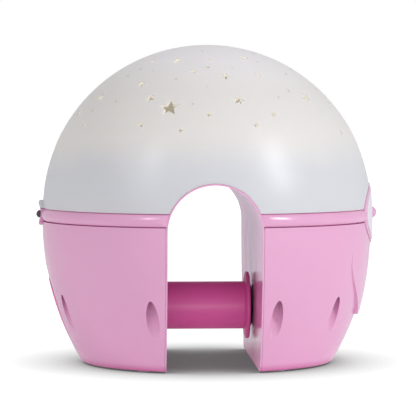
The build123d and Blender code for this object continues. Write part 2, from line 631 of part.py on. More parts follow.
def speaker_fence():
    fence_r = SPEAKER_R + FIT_GAP
    height = FLOOR_Z + 2 * SPEAKER_FLANGE_T
    fence = rod_z(fence_r + SHELL_WALL / 2, FLOOR_Z - TOUCH, height, SPEAKER_X)
    for x, y in speaker_screw_points():
        fence -= rod_z(SMALL_HEAD_R + FIT_GAP, FLOOR_Z, 2 * height, x, y)
        fence += rod_z(SMALL_HEAD_R, FLOOR_Z - TOUCH, FLOOR_Z + SPEAKER_FLANGE_T, x, y)
        fence -= rod_z(SMALL_PILOT_R, FLOOR_Z - SHELL_WALL / 2, height, x, y)
    return fence - rod_z(fence_r, 0, 2 * height, SPEAKER_X)


def apron():
    """A raised bib on the front leg: proud at its bottom edge, sinking into the flank at its top."""
    low_point = (flank_radius(APRON_LOW_Z) + APRON_STEP, 0, APRON_LOW_Z)
    mid_z = (APRON_LOW_Z + APRON_TOP_Z) / 2
    mid_point = (flank_radius(mid_z) + APRON_STEP * APRON_MID_SHARE, 0, mid_z)
    top_point = (flank_radius(APRON_TOP_Z) - APRON_TUCK, 0, APRON_TOP_Z)
    outline = [
        Line((0, 0, APRON_LOW_Z), low_point),
        ThreePointArc(low_point, mid_point, top_point),
        Line(top_point, (0, 0, APRON_TOP_Z)),
        Line((0, 0, APRON_TOP_Z), (0, 0, APRON_LOW_Z)),
    ]
    shoulder_z = APRON_LOW_Z + APRON_SHOULDER_SHARE * (APRON_WIDE_Z - APRON_LOW_Z)
    side = [
        (APRON_LOW_HALF, APRON_LOW_Z),
        ((APRON_LOW_HALF + APRON_WIDE_HALF) / 2, shoulder_z),
        (APRON_WIDE_HALF, APRON_WIDE_Z),
        (APRON_WIDE_HALF * APRON_TOP_SHARE, APRON_TOP_Z),
    ]
    right = Spline(*side)
    left = Spline(*[(-y, z) for y, z in side])
    bottom = Line(left @ 0, right @ 0)
    top = Line(left @ 1, right @ 1)
    plane = Plane(origin=(SLOT_HALF, 0, 0), x_dir=(0, 1, 0), z_dir=(1, 0, 0))
    prism = extrude(plane * make_face([bottom, right, top, left]), amount=REACH / 2)
    return (turned(outline) & prism) - envelope(SHELL_WALL / 2)


def front_leg_shell():
    """Front leg, with the apron, the panel's seat and the opening for the battery door."""
    shell = leg_shell(1, CHANNEL_FRONT_AZ) + apron()
    shell -= panel_seat()
    opening = Box(2 * (DOOR_HALF_X + FIT_GAP), 2 * (DOOR_HALF_Y + FIT_GAP), 4 * SHELL_WALL)
    return shell - Pos(CELL_X, 0, BASE_Z) * opening


def feet(sign):
    centre = leg_azimuth(sign)
    top = BASE_Z + PAD_SINK - TOUCH
    pads = []
    for x, y in ring_points(PAD_RING_R, [centre + a for a in PAD_AZ]):
        pad = rod_z(PAD_R, 0, top, x, y)
        pads.append(chamfer(pad.edges().group_by(Axis.Z)[0], BASE_Z / 2))
    return group(pads)


def housing_screws(sign, azimuths):
    centre = leg_azimuth(sign)
    turns = [centre + s * a for a in azimuths for s in (-1, 1)]
    head_z = SEAT_Z - SEAT_T - SCREW_HEAD_T - TOUCH
    screws = []
    for x, y in ring_points(CHANNEL_AT_R, turns):
        screws.append(screw_up(x, y, head_z, PILOT_R - TOUCH, SCREW_HEAD_R, SCREW_HEAD_T, SCREW_LENGTH))
    return group(screws)


# ================================================================ dome
def star_cutter(azimuth, elevation, tip, turn):
    """A five-pointed bar pointing out of the dome's centre."""
    points = []
    for i in range(2 * STAR_POINTS):
        radius = tip if i % 2 == 0 else tip * STAR_WAIST
        angle = math.radians(turn + 180 * i / STAR_POINTS)
        points.append((radius * math.cos(angle), radius * math.sin(angle)))
    az = math.radians(azimuth)
    el = math.radians(elevation)
    out = Vector(math.cos(el) * math.cos(az), math.cos(el) * math.sin(az), math.sin(el))
    origin = Vector(0, 0, DOME_CENTRE_Z) + out * (GLOBE_R - 3 * DOME_WALL)
    plane = Plane(origin=origin, x_dir=(-math.sin(az), math.cos(az), 0), z_dir=out)
    outline = Polyline(*points, close=True)
    return extrude(plane * make_face(outline), amount=6 * DOME_WALL)


def star_cutters():
    cutters = []
    for turn in range(STAR_ROUNDS):
        for azimuth, elevation, tip, spin in STARS:
            cutters.append(star_cutter(azimuth + 360 * turn / STAR_ROUNDS, elevation, tip, spin))
    return cutters


def star_dome():
    """The white dome: a thin half globe, cut out over the slot and pierced with stars."""
    ball = Sphere(GLOBE_R) - Sphere(GLOBE_R - DOME_WALL)
    shell = Pos(0, 0, DOME_CENTRE_Z) * Rot(0, 0, DOME_SEAM_AZ) * ball
    shell &= slab(BAND_HIGH_Z + FIT_GAP, DOME_CENTRE_Z + REACH)
    shell -= tunnel(SLOT_EDGE)
    shell -= panel_seat()
    shell -= guide_opening()
    shell += pod_blank() & slab(BAND_HIGH_Z + FIT_GAP, REACH)
    shell -= knob_opening()
    return shell - star_cutters()


# ================================================================ front panel and button
def front_panel():
    """Oval surround let into the shell, the band and the dome."""
    prism = oval_x(PANEL_HALF_Y, PANEL_HALF_Z, PANEL_Z, SLOT_HALF, REACH / 2)
    panel = (panel_surface(0.0) & prism) - panel_surface(-PANEL_T)
    seat = oval_x(WINDOW_HALF_Y + FIT_GAP / 2, WINDOW_HALF_Z + FIT_GAP / 2, PANEL_Z, SLOT_HALF, REACH / 2)
    panel -= seat - panel_surface(-WINDOW_SINK - TOUCH)
    return panel - rod_x(BUTTON_R + RUN_GAP, SLOT_HALF, REACH / 2, 0, PANEL_Z)


def panel_window():
    """Pale oval plate that the button stands in."""
    prism = oval_x(WINDOW_HALF_Y, WINDOW_HALF_Z, PANEL_Z, SLOT_HALF, REACH / 2)
    plate = (panel_surface(WINDOW_RISE) & prism) - panel_surface(-WINDOW_SINK)
    return plate - rod_x(BUTTON_R + RUN_GAP, SLOT_HALF, REACH / 2, 0, PANEL_Z)


def power_button():
    """Half-ball push button with a flange behind the panel and a stem in its guide."""
    flange_rear = FLANGE_FRONT - BUTTON_FLANGE_T
    crown_x = BUTTON_REACH - BUTTON_R
    button = Pos(crown_x, 0, PANEL_Z) * Sphere(BUTTON_R)
    button = button & (Pos(crown_x + REACH / 2, 0, PANEL_Z) * Box(REACH, REACH, REACH))
    button += rod_x(BUTTON_R, flange_rear, crown_x, 0, PANEL_Z)
    button += rod_x(BUTTON_FLANGE_R, flange_rear, FLANGE_FRONT, 0, PANEL_Z)
    return button + rod_x(BUTTON_STEM_R, GUIDE_REAR_X, FLANGE_FRONT - TOUCH, 0, PANEL_Z)


def button_board():
    middle = (DECK_TOP + BUTTON_BOARD_TOP) / 2
    x = BUTTON_BOARD_X - BOARD_T / 2
    height = BUTTON_BOARD_TOP - DECK_TOP - 2 * TOUCH
    return Pos(x, 0, middle) * Box(BOARD_T, 2 * BUTTON_BOARD_HALF_Y, height)


def button_switch():
    """Tact switch behind the button."""
    face = BUTTON_BOARD_X + TOUCH
    body = Pos(face + TACT_T / 2, 0, PANEL_Z) * Box(TACT_T, 2 * TACT_HALF, 2 * TACT_HALF)
    return body + rod_x(TACT_PLUNGER_R, face + TACT_T / 2, face + TACT_T + TACT_PLUNGER - TOUCH, 0, PANEL_Z)


# ================================================================ mode switch
def switch_plate():
    """Curved plate behind the bezel, slotted for the knob's stem."""
    outer_r = RING_R - RING_T - FIT_GAP / 2
    low = DECK_TOP + TOUCH
    high = BAND_HIGH_Z + RING_RISE
    plate = rod_z(outer_r, low, high) - rod_z(outer_r - PLATE_T, 0, REACH)
    plate = plate & (Pos(-REACH / 4, 0, POD_Z) * Box(REACH / 2, 2 * POD_HALF_Y, REACH))
    slot_y = KNOB_STEM_HALF + KNOB_TRAVEL + KNOB_GAP
    slot = Pos(-outer_r, 0, KNOB_Z) * Box(6 * PLATE_T, 2 * slot_y, 2 * (KNOB_STEM_HALF + FIT_GAP))
    return plate - slot


def switch_front_x():
    """Front face of the slide switch, close behind the curved plate."""
    inner = RING_R - RING_T - FIT_GAP / 2 - PLATE_T
    return -math.sqrt(inner**2 - SWITCH_HALF_Y**2) + FIT_GAP


def mode_switch_body():
    front = switch_front_x()
    middle = front + SWITCH_X / 2
    body = Pos(middle, 0, KNOB_Z) * Box(SWITCH_X, 2 * SWITCH_HALF_Y, 2 * SWITCH_HALF_Z)
    slot_y = KNOB_STEM_HALF + KNOB_TRAVEL + KNOB_GAP
    slot = Pos(front, 0, KNOB_Z) * Box(SWITCH_X, 2 * slot_y, 2 * (KNOB_STEM_HALF + FIT_GAP))
    return body - slot


def switch_board():
    """Small board under the slide switch, screwed to the deck."""
    front = switch_front_x()
    low = DECK_TOP + TOUCH
    high = KNOB_Z - SWITCH_HALF_Z - TOUCH
    board = Pos(front + SWITCH_X, 0, (low + high) / 2) * Box(2 * SWITCH_X, 3 * SWITCH_HALF_Y, high - low)
    for x, y in switch_screw_points():
        board -= rod_z(SMALL_SCREW_R + FIT_GAP, 0, REACH, x, y)
    return board


def switch_screw_points():
    x = switch_front_x() + SWITCH_X
    return [(x, -1.25 * SWITCH_HALF_Y), (x, 1.25 * SWITCH_HALF_Y)]


def mode_switch_knob():
    """Dark sliding knob with a rounded front and a stem into the switch."""
    back = -(RING_R - RING_T) - KNOB_GAP
    straight = -KNOB_REACH + KNOB_HALF_Z
    length = straight - back
    head = Pos((back + straight) / 2, 0, KNOB_Z) * Box(-length, 2 * KNOB_HALF_Y, 2 * KNOB_HALF_Z)
    head += Pos(straight, 0, KNOB_Z) * Rot(90, 0, 0) * Cylinder(KNOB_HALF_Z, 2 * KNOB_HALF_Y)
    tip = switch_front_x() + SWITCH_X / 2 - 2 * FIT_GAP
    stem = Box(tip - back, 2 * KNOB_STEM_HALF, 2 * KNOB_STEM_HALF)
    return head + Pos((back + tip) / 2, 0, KNOB_Z) * stem


# ================================================================ clamp
def clamp_tube():
    """Hollow bar across the slot that pushes the foot against the rail."""
    front = FOOT_BACK_X - TOUCH
    tube = rod_x(TUBE_R, -TUBE_REAR, front, 0, CLAMP_Z)
    return tube - rod_x(TUBE_R - TUBE_WALL, -SLEEVE_END, SLOT_HALF, 0, CLAMP_Z)


def clamp_foot():
    """Round disc on the end of the tube, with a flared back and a plug inside the tube."""
    bore_r = TUBE_R - TUBE_WALL - TOUCH
    edge = FOOT_T / 3
    rim = FOOT_R - edge
    rim_back = (FOOT_BACK_X + edge / 2, rim)
    rim_front = (FOOT_FACE_X - edge / 2, rim)
    outline = [
        Line((PLUG_REAR_X, 0), (PLUG_REAR_X, bore_r)),
        Line((PLUG_REAR_X, bore_r), (FOOT_BACK_X, bore_r)),
        Line((FOOT_BACK_X, bore_r), (FOOT_BACK_X, FLARE_R)),
        Line((FOOT_BACK_X, FLARE_R), rim_back),
        ThreePointArc(rim_back, (FOOT_BACK_X + FOOT_T / 2, FOOT_R), rim_front),
        Line(rim_front, (FOOT_FACE_X, CUSHION_R + edge)),
        Line((FOOT_FACE_X, CUSHION_R + edge), (FOOT_FACE_X, 0)),
        Line((FOOT_FACE_X, 0), (PLUG_REAR_X, 0)),
    ]
    plane = Plane(origin=(0, 0, CLAMP_Z), x_dir=(1, 0, 0), z_dir=(0, -1, 0))
    foot = revolve(plane * make_face(outline), Axis((0, 0, CLAMP_Z), (1, 0, 0)))
    recess = CUSHION_T - CUSHION_PROUD + TOUCH
    foot -= rod_x(CUSHION_R + TOUCH, FOOT_FACE_X - recess, SLOT_HALF, 0, CLAMP_Z)
    foot -= rod_x(SCREW_HEAD_R + FIT_GAP, FOOT_FACE_X - recess - SCREW_HEAD_T, SLOT_HALF, 0, CLAMP_Z)
    foot -= rod_x(SCREW_R + FIT_GAP, PLUG_REAR_X, SLOT_HALF, 0, CLAMP_Z)
    return foot - rod_x(ROD_R + TOUCH, -SLOT_HALF, rod_front_x(), 0, CLAMP_Z)


def rod_front_x():
    return PLUG_REAR_X + PLUG_LENGTH / 2


def clamp_cushion():
    face = FOOT_FACE_X + CUSHION_PROUD
    pad = rod_x(CUSHION_R, face - CUSHION_T, face, 0, CLAMP_Z)
    return chamfer(pad.edges().group_by(Axis.X)[-1], CUSHION_PROUD / 2)


def rod_screw():
    """Screw through the foot into the end of the pull rod, hidden under the cushion."""
    seat = FOOT_FACE_X - (CUSHION_T - CUSHION_PROUD) - SCREW_HEAD_T
    screw = rod_x(SCREW_HEAD_R, seat + TOUCH, seat + SCREW_HEAD_T - TOUCH, 0, CLAMP_Z)
    return screw + rod_x(PILOT_R, rod_front_x() - SCREW_LENGTH, seat + 2 * TOUCH, 0, CLAMP_Z)


def grip_inner_x():
    return flank_radius(CLAMP_Z, GRIP_T)


def pull_rod():
    """Steel rod from the foot, through the spring, to the grip."""
    rod = rod_x(ROD_R, -grip_inner_x() - ROD_BITE, rod_front_x() - TOUCH, 0, CLAMP_Z)
    pilot_end = rod_front_x() - SCREW_LENGTH - PILOT_GAP
    return rod - rod_x(PILOT_R + TOUCH, pilot_end, rod_front_x(), 0, CLAMP_Z)


def pull_grip():
    """Oval finger grip that lies flush in the rear leg and follows its curve."""
    skin = outer_envelope() - envelope(GRIP_T)
    grip = skin & grip_prism(0.0, 0.0)
    bore_end = -grip_inner_x() - ROD_BITE - TOUCH
    return grip - rod_x(ROD_R + TOUCH, bore_end, -SLEEVE_END, 0, CLAMP_Z)


def clamp_sleeve():
    """Guide that the tube slides in, screwed to posts on the liner."""
    front = -LINER_X - TOUCH
    flange_front = front - SLEEVE_POST
    sleeve = rod_x(SLEEVE_R, -SLEEVE_END, front, 0, CLAMP_Z)
    flange = rod_x(SLEEVE_FLANGE_R, flange_front, flange_front - SLEEVE_FLANGE_T, 0, CLAMP_Z)
    sleeve += flange & slab(CLAMP_Z - SLEEVE_R, REACH)
    sleeve -= rod_x(TUBE_R + RUN_GAP, -SHELL_R, -SLOT_HALF, 0, CLAMP_Z)
    for y, z in sleeve_screw_points():
        sleeve -= rod_x(SMALL_SCREW_R + FIT_GAP, -SLEEVE_END, -SLOT_HALF, y, z)
        sleeve -= rod_x(BOSS_R + TOUCH, flange_front, -SLOT_HALF, y, z)
    return sleeve


def sleeve_screws():
    seat = -LINER_X - SLEEVE_POST - SLEEVE_FLANGE_T - 2 * TOUCH
    screws = []
    for y, z in sleeve_screw_points():
        shank = rod_x(SMALL_SCREW_R, seat, -LINER_X - PILOT_GAP, y, z)
        screws.append(shank + rod_x(SMALL_HEAD_R, seat - SMALL_HEAD_T, seat, y, z))
    return group(screws)


def sleeve_cap():
    """End cap of the sleeve: seat for the spring and rear bearing for the rod."""
    cap = rod_x(SLEEVE_R, -SLEEVE_END - TOUCH, -SLEEVE_END - TOUCH - CAP_T, 0, CLAMP_Z)
    cap += rod_x(TUBE_R, -SLEEVE_END - CAP_T, -SLEEVE_END + CAP_SPIGOT, 0, CLAMP_Z)
    cap += rod_x(CAP_NOSE_R, -SLEEVE_END, -SLEEVE_END - CAP_T - CAP_NOSE, 0, CLAMP_Z)
    return cap - rod_x(ROD_R + RUN_GAP, -SLEEVE_END - 4 * CAP_NOSE, -SLEEVE_END + CAP_NOSE, 0, CLAMP_Z)


def clamp_spring():
    """Coil spring round the rod, between the cap and the foot's plug."""
    start = -SLEEVE_END + CAP_SPIGOT + SPRING_WIRE_R + TOUCH
    end = PLUG_REAR_X - SPRING_WIRE_R - TOUCH
    height = end - start
    path = Helix(pitch=height / SPRING_TURNS, height=height, radius=SPRING_R)
    wire = Plane(origin=path @ 0, z_dir=path % 0) * RegularPolygon(SPRING_WIRE_R, WIRE_SIDES)
    coil = sweep(wire, path=path, is_frenet=True)
    return Pos(start, 0, CLAMP_Z) * Rot(0, 90, 0) * coil


# ================================================================ batteries
def cell_points():
    middle = (CELL_COUNT - 1) / 2
    return [(CELL_X, (i - middle) * CELL_PITCH) for i in range(CELL_COUNT)]


def battery_box():
    """Open-bottomed well with a bay for each cell, hung from the deck."""
    top = CELL_LOW_Z + CELL_LENGTH + CONTACT_T + 2 * TOUCH
    low = FLOOR_Z + FIT_GAP
    half_y = (CELL_COUNT - 1) / 2 * CELL_PITCH + BAY_R + BOX_WALL
    height = top + BOX_WALL - low
    box = Pos(CELL_X, 0, low + height / 2) * Box(2 * (BAY_R + BOX_WALL), 2 * half_y, height)
    for x, y in cell_points():
        box -= rod_z(BAY_R, 0, top, x, y)
    for x, y in door_screw_points():
        box += rod_z(DOOR_BOSS_R, low, low + DOOR_BOSS_H, x, y)
        box -= rod_z(SMALL_SCREW_R + RUN_GAP, 0, low + DOOR_BOSS_H - DOOR_BOSS_ROOF, x, y)
    for x, y in box_ear_points():
        box += rod_z(BOSS_R, top + BOX_WALL / 2, DECK_Z - TOUCH, x, y)
        box -= rod_z(SMALL_SCREW_R + TOUCH, DECK_Z - EAR_T - PILOT_GAP, DECK_Z, x, y)
    return box


def box_ear_points():
    y = (CELL_COUNT - 1) / 2 * CELL_PITCH + CELL_R - BOSS_R
    x = CELL_X + BAY_R + BOX_WALL - BOSS_R
    return [(x, -y), (x, y)]


def box_screws():
    """Screws down through the deck into the battery box's ears."""
    seat = DECK_TOP + TOUCH
    screws = []
    for x, y in box_ear_points():
        screws.append(screw_down(x, y, seat, SMALL_SCREW_R, SMALL_HEAD_R, SMALL_HEAD_T, DECK_T + EAR_T))
    return group(screws)


def door_screw_points():
    return [(CELL_X, -DOOR_SCREW_Y), (CELL_X, DOOR_SCREW_Y)]


def battery_cells():
    top = CELL_LOW_Z + CELL_LENGTH
    cells = []
    for x, y in cell_points():
        can = rod_z(CELL_R, CELL_LOW_Z, top - CELL_NUB, x, y)
        can = chamfer(can.edges().group_by(Axis.Z)[-1], CELL_EDGE)
        cells.append(can + rod_z(CELL_NUB_R, top - 2 * CELL_NUB, top, x, y))
    return group(cells)


def battery_contacts():
    """Flat contact plates in the roof of the box, above the cells."""
    middle_z = CELL_LOW_Z + CELL_LENGTH + TOUCH + CONTACT_T / 2
    plate = Box(2 * CONTACT_HALF, 2 * CONTACT_HALF, CONTACT_T)
    return group([Pos(x, y, middle_z) * plate for x, y in cell_points()])


def battery_door():
    """Cover of the battery compartment, flush in the bottom of the front leg."""
    door = Pos(CELL_X, 0, (BASE_Z + FLOOR_Z) / 2) * Box(2 * DOOR_HALF_X, 2 * DOOR_HALF_Y, SHELL_WALL)
    door = fillet(door.edges().filter_by(Axis.Z), BASE_EDGE_R)
    for x, y in door_screw_points():
        door -= rod_z(SMALL_HEAD_R + FIT_GAP, 0, BASE_Z + SMALL_HEAD_T, x, y)
        door -= rod_z(SMALL_SCREW_R + TOUCH, 0, REACH, x, y)
    return door


def door_contacts():
    """Sprung contacts riveted to the inside of the battery door."""
    contacts = []
    for x, y in cell_points():
        foot = Box(2 * CONTACT_HALF, 2 * CONTACT_HALF, CONTACT_T)
        cone = Cone(CONTACT_CONE_R, CONTACT_TIP_R, CELL_LOW_Z - FLOOR_Z - 4 * TOUCH)
        plate = Pos(x, y, FLOOR_Z + TOUCH + CONTACT_T / 2) * foot
        contacts.append(plate + Pos(x, y, (FLOOR_Z + CELL_LOW_Z) / 2) * cone)
    return group(contacts)


def battery_door_screws():
    head_z = BASE_Z + FIT_GAP
    head_t = SMALL_HEAD_T - FIT_GAP - TOUCH
    screws = []
    for x, y in door_screw_points():
        screws.append(screw_up(x, y, head_z, SMALL_SCREW_R, SMALL_HEAD_R, head_t, DOOR_SCREW_LENGTH))
    return group(screws)


# ================================================================ loudspeaker
def speaker_profile(points):
    """Turned piece of the loudspeaker from radius and height pairs above its seat."""
    low = FLOOR_Z + TOUCH
    outline = Polyline(*[(r, 0, low + z) for r, z in points], close=True)
    return Pos(SPEAKER_X, 0, 0) * revolve(make_face(outline), Axis.Z)


def speaker_basket():
    cone_r = SPEAKER_R - SPEAKER_RIM
    wall = SPEAKER_FLANGE_T
    return speaker_profile([
        (cone_r, 0), (SPEAKER_R, 0), (SPEAKER_R, wall), (cone_r + wall, wall),
        (MAGNET_R, SPEAKER_DEPTH), (0, SPEAKER_DEPTH), (0, SPEAKER_DEPTH - wall),
        (MAGNET_R - wall, SPEAKER_DEPTH - wall), (cone_r, wall),
    ])


def speaker_cone():
    edge_r = SPEAKER_R - SPEAKER_RIM - FIT_GAP
    middle_r = edge_r * CONE_CAP_SHARE
    sheet = CONE_SHEET
    rise = SPEAKER_DEPTH / 2 - sheet
    return speaker_profile([
        (edge_r, sheet), (edge_r, 2 * sheet), (middle_r, rise + sheet), (0, rise), (0, rise - sheet),
        (middle_r, rise),
    ])


def speaker_magnet():
    low = FLOOR_Z + SPEAKER_DEPTH + 2 * TOUCH
    return rod_z(MAGNET_R, low, low + MAGNET_T, SPEAKER_X)


def speaker_screw_points():
    reach = SPEAKER_R + FIT_GAP + SMALL_SCREW_R
    return [(SPEAKER_X, -reach), (SPEAKER_X, reach)]


def speaker_screws():
    """Two screws whose heads hold the loudspeaker's rim down."""
    seat = FLOOR_Z + SPEAKER_FLANGE_T + 2 * TOUCH
    length = SPEAKER_FLANGE_T + SHELL_WALL / 2
    screws = []
    for x, y in speaker_screw_points():
        screws.append(screw_down(x, y, seat, THREAD_R, SMALL_HEAD_R, SMALL_HEAD_T, length))
    return group(screws)


# ================================================================ boards and lamps
def main_board():
    length = MAIN_BOARD_X[1] - MAIN_BOARD_X[0]
    middle = sum(MAIN_BOARD_X) / 2
    board = Pos(middle, 0, MAIN_BOARD_Z + BOARD_T / 2) * Box(length, 2 * MAIN_BOARD_HALF_Y, BOARD_T)
    for x, y in main_board_corners():
        board -= rod_z(SMALL_SCREW_R + FIT_GAP, 0, REACH, x, y)
    return board


def board_chips():
    """Sound chip and capacitor on the main board."""
    middle = sum(MAIN_BOARD_X) / 2
    top = MAIN_BOARD_Z + BOARD_T + TOUCH
    chip = Pos(middle - CHIP_BACK, 0, top + CHIP_SIZE[2] / 2) * Box(*CHIP_SIZE)
    can = rod_z(CAPACITOR_R, top, top + CAPACITOR_H, middle + CAPACITOR_AT[0], CAPACITOR_AT[1])
    return group([chip, can])


def led_board():
    board = rod_z(LED_BOARD_R, LED_BOARD_Z, LED_BOARD_Z + BOARD_T)
    for x, y in led_post_points():
        board -= rod_z(SMALL_SCREW_R + FIT_GAP, 0, REACH, x, y)
    return board


def leds():
    low = LED_BOARD_Z + BOARD_T + TOUCH
    high = low + LED_HEIGHT
    lamps = []
    for x, y in ring_points(LED_RING_R, [45 + 360 * i / LED_COUNT for i in range(LED_COUNT)]):
        lamp = rod_z(LED_R, low, high - LED_R, x, y) + Pos(x, y, high - LED_R) * Sphere(LED_R)
        lamps.append(lamp + rod_z(LED_R + LED_RIM, low, low + LED_RIM_H, x, y))
    return group(lamps)


def board_screws():
    places = [(x, y, MAIN_BOARD_Z) for x, y in main_board_corners()]
    places += [(x, y, LED_BOARD_Z) for x, y in led_post_points()]
    screws = []
    for x, y, low in places:
        seat = low + BOARD_T + TOUCH
        screws.append(screw_down(x, y, seat, THREAD_R, SMALL_HEAD_R, SMALL_HEAD_T, BOARD_SCREW_LENGTH))
    return group(screws)


def reflector_tray():
    """Shallow white dish under the dome that throws the light up through the stars."""
    low_rim = (TRAY_RIM_R, 0, TRAY_RIM_Z - TRAY_T)
    top_z = TRAY_Z + TRAY_T
    outline = Polyline(
        (TRAY_HOLE_R, 0, TRAY_Z), (TRAY_FOLD_R, 0, TRAY_Z), low_rim, (TRAY_RIM_R, 0, TRAY_RIM_Z),
        (TRAY_FOLD_R - TRAY_T / 2, 0, top_z), (TRAY_HOLE_R, 0, top_z), close=True,
    )
    tray = revolve(make_face(outline), Axis.Z)
    for x, y in ring_points(TRAY_POST_AT_R, TRAY_POST_AZ):
        tray -= rod_z(SMALL_SCREW_R + FIT_GAP, 0, REACH, x, y)
    return tray


def tray_screws():
    screws = []
    for x, y in ring_points(TRAY_POST_AT_R, TRAY_POST_AZ):
        seat = TRAY_Z + TRAY_T + TOUCH
        screws.append(screw_down(x, y, seat, THREAD_R, SMALL_HEAD_R, SMALL_HEAD_T, SMALL_SCREW_LENGTH))
    return group(screws)


def switch_screws():
    screws = []
    seat = KNOB_Z - SWITCH_HALF_Z
    length = seat - DECK_Z - FIT_GAP
    for x, y in switch_screw_points():
        screws.append(screw_down(x, y, seat, THREAD_R, SMALL_HEAD_R, SMALL_HEAD_T, length))
    return group(screws)


# ================================================================ write the parts
PARTS = {
    "star_dome": star_dome,
    "saddle_frame": saddle_frame,
    "rear_leg_shell": rear_leg_shell,
    "front_leg_shell": front_leg_shell,
    "rear_feet": lambda: feet(-1),
    "front_feet": lambda: feet(1),
    "housing_screws_rear": lambda: housing_screws(-1, CHANNEL_REAR_AZ),
    "housing_screws_front": lambda: housing_screws(1, CHANNEL_FRONT_AZ),
    "front_panel": front_panel,
    "panel_window": panel_window,
    "power_button": power_button,
    "button_board": button_board,
    "button_switch": button_switch,
    "switch_plate": switch_plate,
    "mode_switch_body": mode_switch_body,
    "switch_board": switch_board,
    "switch_screws": switch_screws,
    "mode_switch_knob": mode_switch_knob,
    "clamp_tube": clamp_tube,
    "clamp_foot": clamp_foot,
    "clamp_cushion": clamp_cushion,
    "rod_screw": rod_screw,
    "pull_rod": pull_rod,
    "pull_grip": pull_grip,
    "clamp_sleeve": clamp_sleeve,
    "sleeve_screws": sleeve_screws,
    "sleeve_cap": sleeve_cap,
    "clamp_spring": clamp_spring,
    "battery_box": battery_box,
    "box_screws": box_screws,
    "battery_cells": battery_cells,
    "battery_contacts": battery_contacts,
    "battery_door": battery_door,
    "door_contacts": door_contacts,
    "battery_door_screws": battery_door_screws,
    "speaker_basket": speaker_basket,
    "speaker_cone": speaker_cone,
    "speaker_magnet": speaker_magnet,
    "speaker_screws": speaker_screws,
    "main_board": main_board,
    "board_chips": board_chips,
    "led_board": led_board,
    "leds": leds,
    "board_screws": board_screws,
    "reflector_tray": reflector_tray,
    "tray_screws": tray_screws,
}

os.makedirs("parts", exist_ok=True)
for name, build in PARTS.items():
    part = build()
    export_step(part, f"parts/{name}.step")
    print(name, len(part.solids()), "solids", round(part.volume), "mm3")
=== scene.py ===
import json
import math

import bmesh
import bpy
import numpy as np
from mathutils import Matrix, Vector


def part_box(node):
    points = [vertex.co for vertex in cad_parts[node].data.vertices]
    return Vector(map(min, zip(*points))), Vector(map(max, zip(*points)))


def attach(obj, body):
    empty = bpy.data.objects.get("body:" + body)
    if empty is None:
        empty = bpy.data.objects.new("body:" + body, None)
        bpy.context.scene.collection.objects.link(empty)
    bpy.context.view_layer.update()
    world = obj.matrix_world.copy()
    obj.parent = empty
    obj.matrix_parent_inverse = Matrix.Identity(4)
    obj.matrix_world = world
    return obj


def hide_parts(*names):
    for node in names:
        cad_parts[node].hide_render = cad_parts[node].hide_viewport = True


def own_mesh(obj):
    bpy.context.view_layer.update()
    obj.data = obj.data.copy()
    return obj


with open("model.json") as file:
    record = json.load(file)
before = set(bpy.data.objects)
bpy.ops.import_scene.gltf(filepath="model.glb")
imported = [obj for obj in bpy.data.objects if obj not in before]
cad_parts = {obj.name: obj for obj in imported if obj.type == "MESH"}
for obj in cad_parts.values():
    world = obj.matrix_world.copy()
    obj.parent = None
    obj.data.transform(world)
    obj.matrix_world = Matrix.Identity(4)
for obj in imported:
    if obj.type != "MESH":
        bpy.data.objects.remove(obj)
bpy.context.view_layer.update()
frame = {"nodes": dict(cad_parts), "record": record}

# %% [markdown]
# A star night light for the nursery. It is a white, slightly see-through ball that stands on two
# hollow pink legs, and the slot between the legs drops over the rail of a cot, where a sprung clamp
# holds it. The construction model gives every piece its exact place. This script gives the pieces
# their finish: soft plastic that carries light, glossy plastic that mirrors, rubber and steel.
#
# First come the numbers and names that the later steps share. Lengths are in metres, +X is the
# front with the push button, +Y runs along the slot and +Z is up.

# %% Shared sizes
MM = 0.001
BALL_CENTRE = Vector((0.0, 0.0, 76.4 * MM))
BALL_R = 82.0 * MM
BALL_WALL = 2.0 * MM
BALL_TOP_Z = BALL_CENTRE.z + BALL_R
BELT_Z = 70.8 * MM          # the flanks of the legs start here and curve inwards
BELT_R = 82.2 * MM
FLANK_ARC_R = 136.0 * MM
FLANK_ARC_MIDDLE = BELT_R - FLANK_ARC_R
LEG_WALL = 2.2 * MM
TRAY_Z = 99.3 * MM

body_of_node = {
    node: body for body, members in frame["record"]["behaviour"]["bodies"].items() for node in members
}
slot_of_node = {entry["node"]: entry["material_slot"] for entry in frame["record"]["subparts"]}
print("nodes:", len(slot_of_node))
print("bodies:", sorted(set(body_of_node.values())))

# %% [markdown]
# ## Surface effects that several finishes share
#
# Real moulded plastic is never perfectly even. The tool leaves a very fine grain, and hands leave
# faint dull patches. Both are useful on nearly every piece, so each is built once as a shader node
# group with its own inputs, and every material places it with its own values. The patterns read
# Object coordinates, so they stay put when a piece moves.


# %% Helper for node groups
def new_group(name, inputs, outputs):
    """A shader node group with float inputs given as (name, default) and outputs as (name, type)."""
    tree = bpy.data.node_groups.new(name, "ShaderNodeTree")
    for label, default in inputs:
        socket = tree.interface.new_socket(label, in_out="INPUT", socket_type="NodeSocketFloat")
        socket.default_value = default
    for label, kind in outputs:
        tree.interface.new_socket(label, in_out="OUTPUT", socket_type=kind)
    return tree, tree.nodes.new("NodeGroupInput"), tree.nodes.new("NodeGroupOutput")


def noise(tree, coordinates, detail=2.0, roughness=0.5):
    """Noise texture on the given coordinates. Its scale is set by the caller."""
    node = tree.nodes.new("ShaderNodeTexNoise")
    node.inputs["Detail"].default_value = detail
    node.inputs["Roughness"].default_value = roughness
    tree.links.new(coordinates, node.inputs["Vector"])
    return node


def remap(tree, value, low, high, to_low, to_high):
    """Map Range node. Each limit may be a number or a socket."""
    node = tree.nodes.new("ShaderNodeMapRange")
    tree.links.new(value, node.inputs["Value"])
    limits = (("From Min", low), ("From Max", high), ("To Min", to_low), ("To Max", to_high))
    for label, limit in limits:
        if isinstance(limit, (int, float)):
            node.inputs[label].default_value = limit
        else:
            tree.links.new(limit, node.inputs[label])
    return node.outputs["Result"]


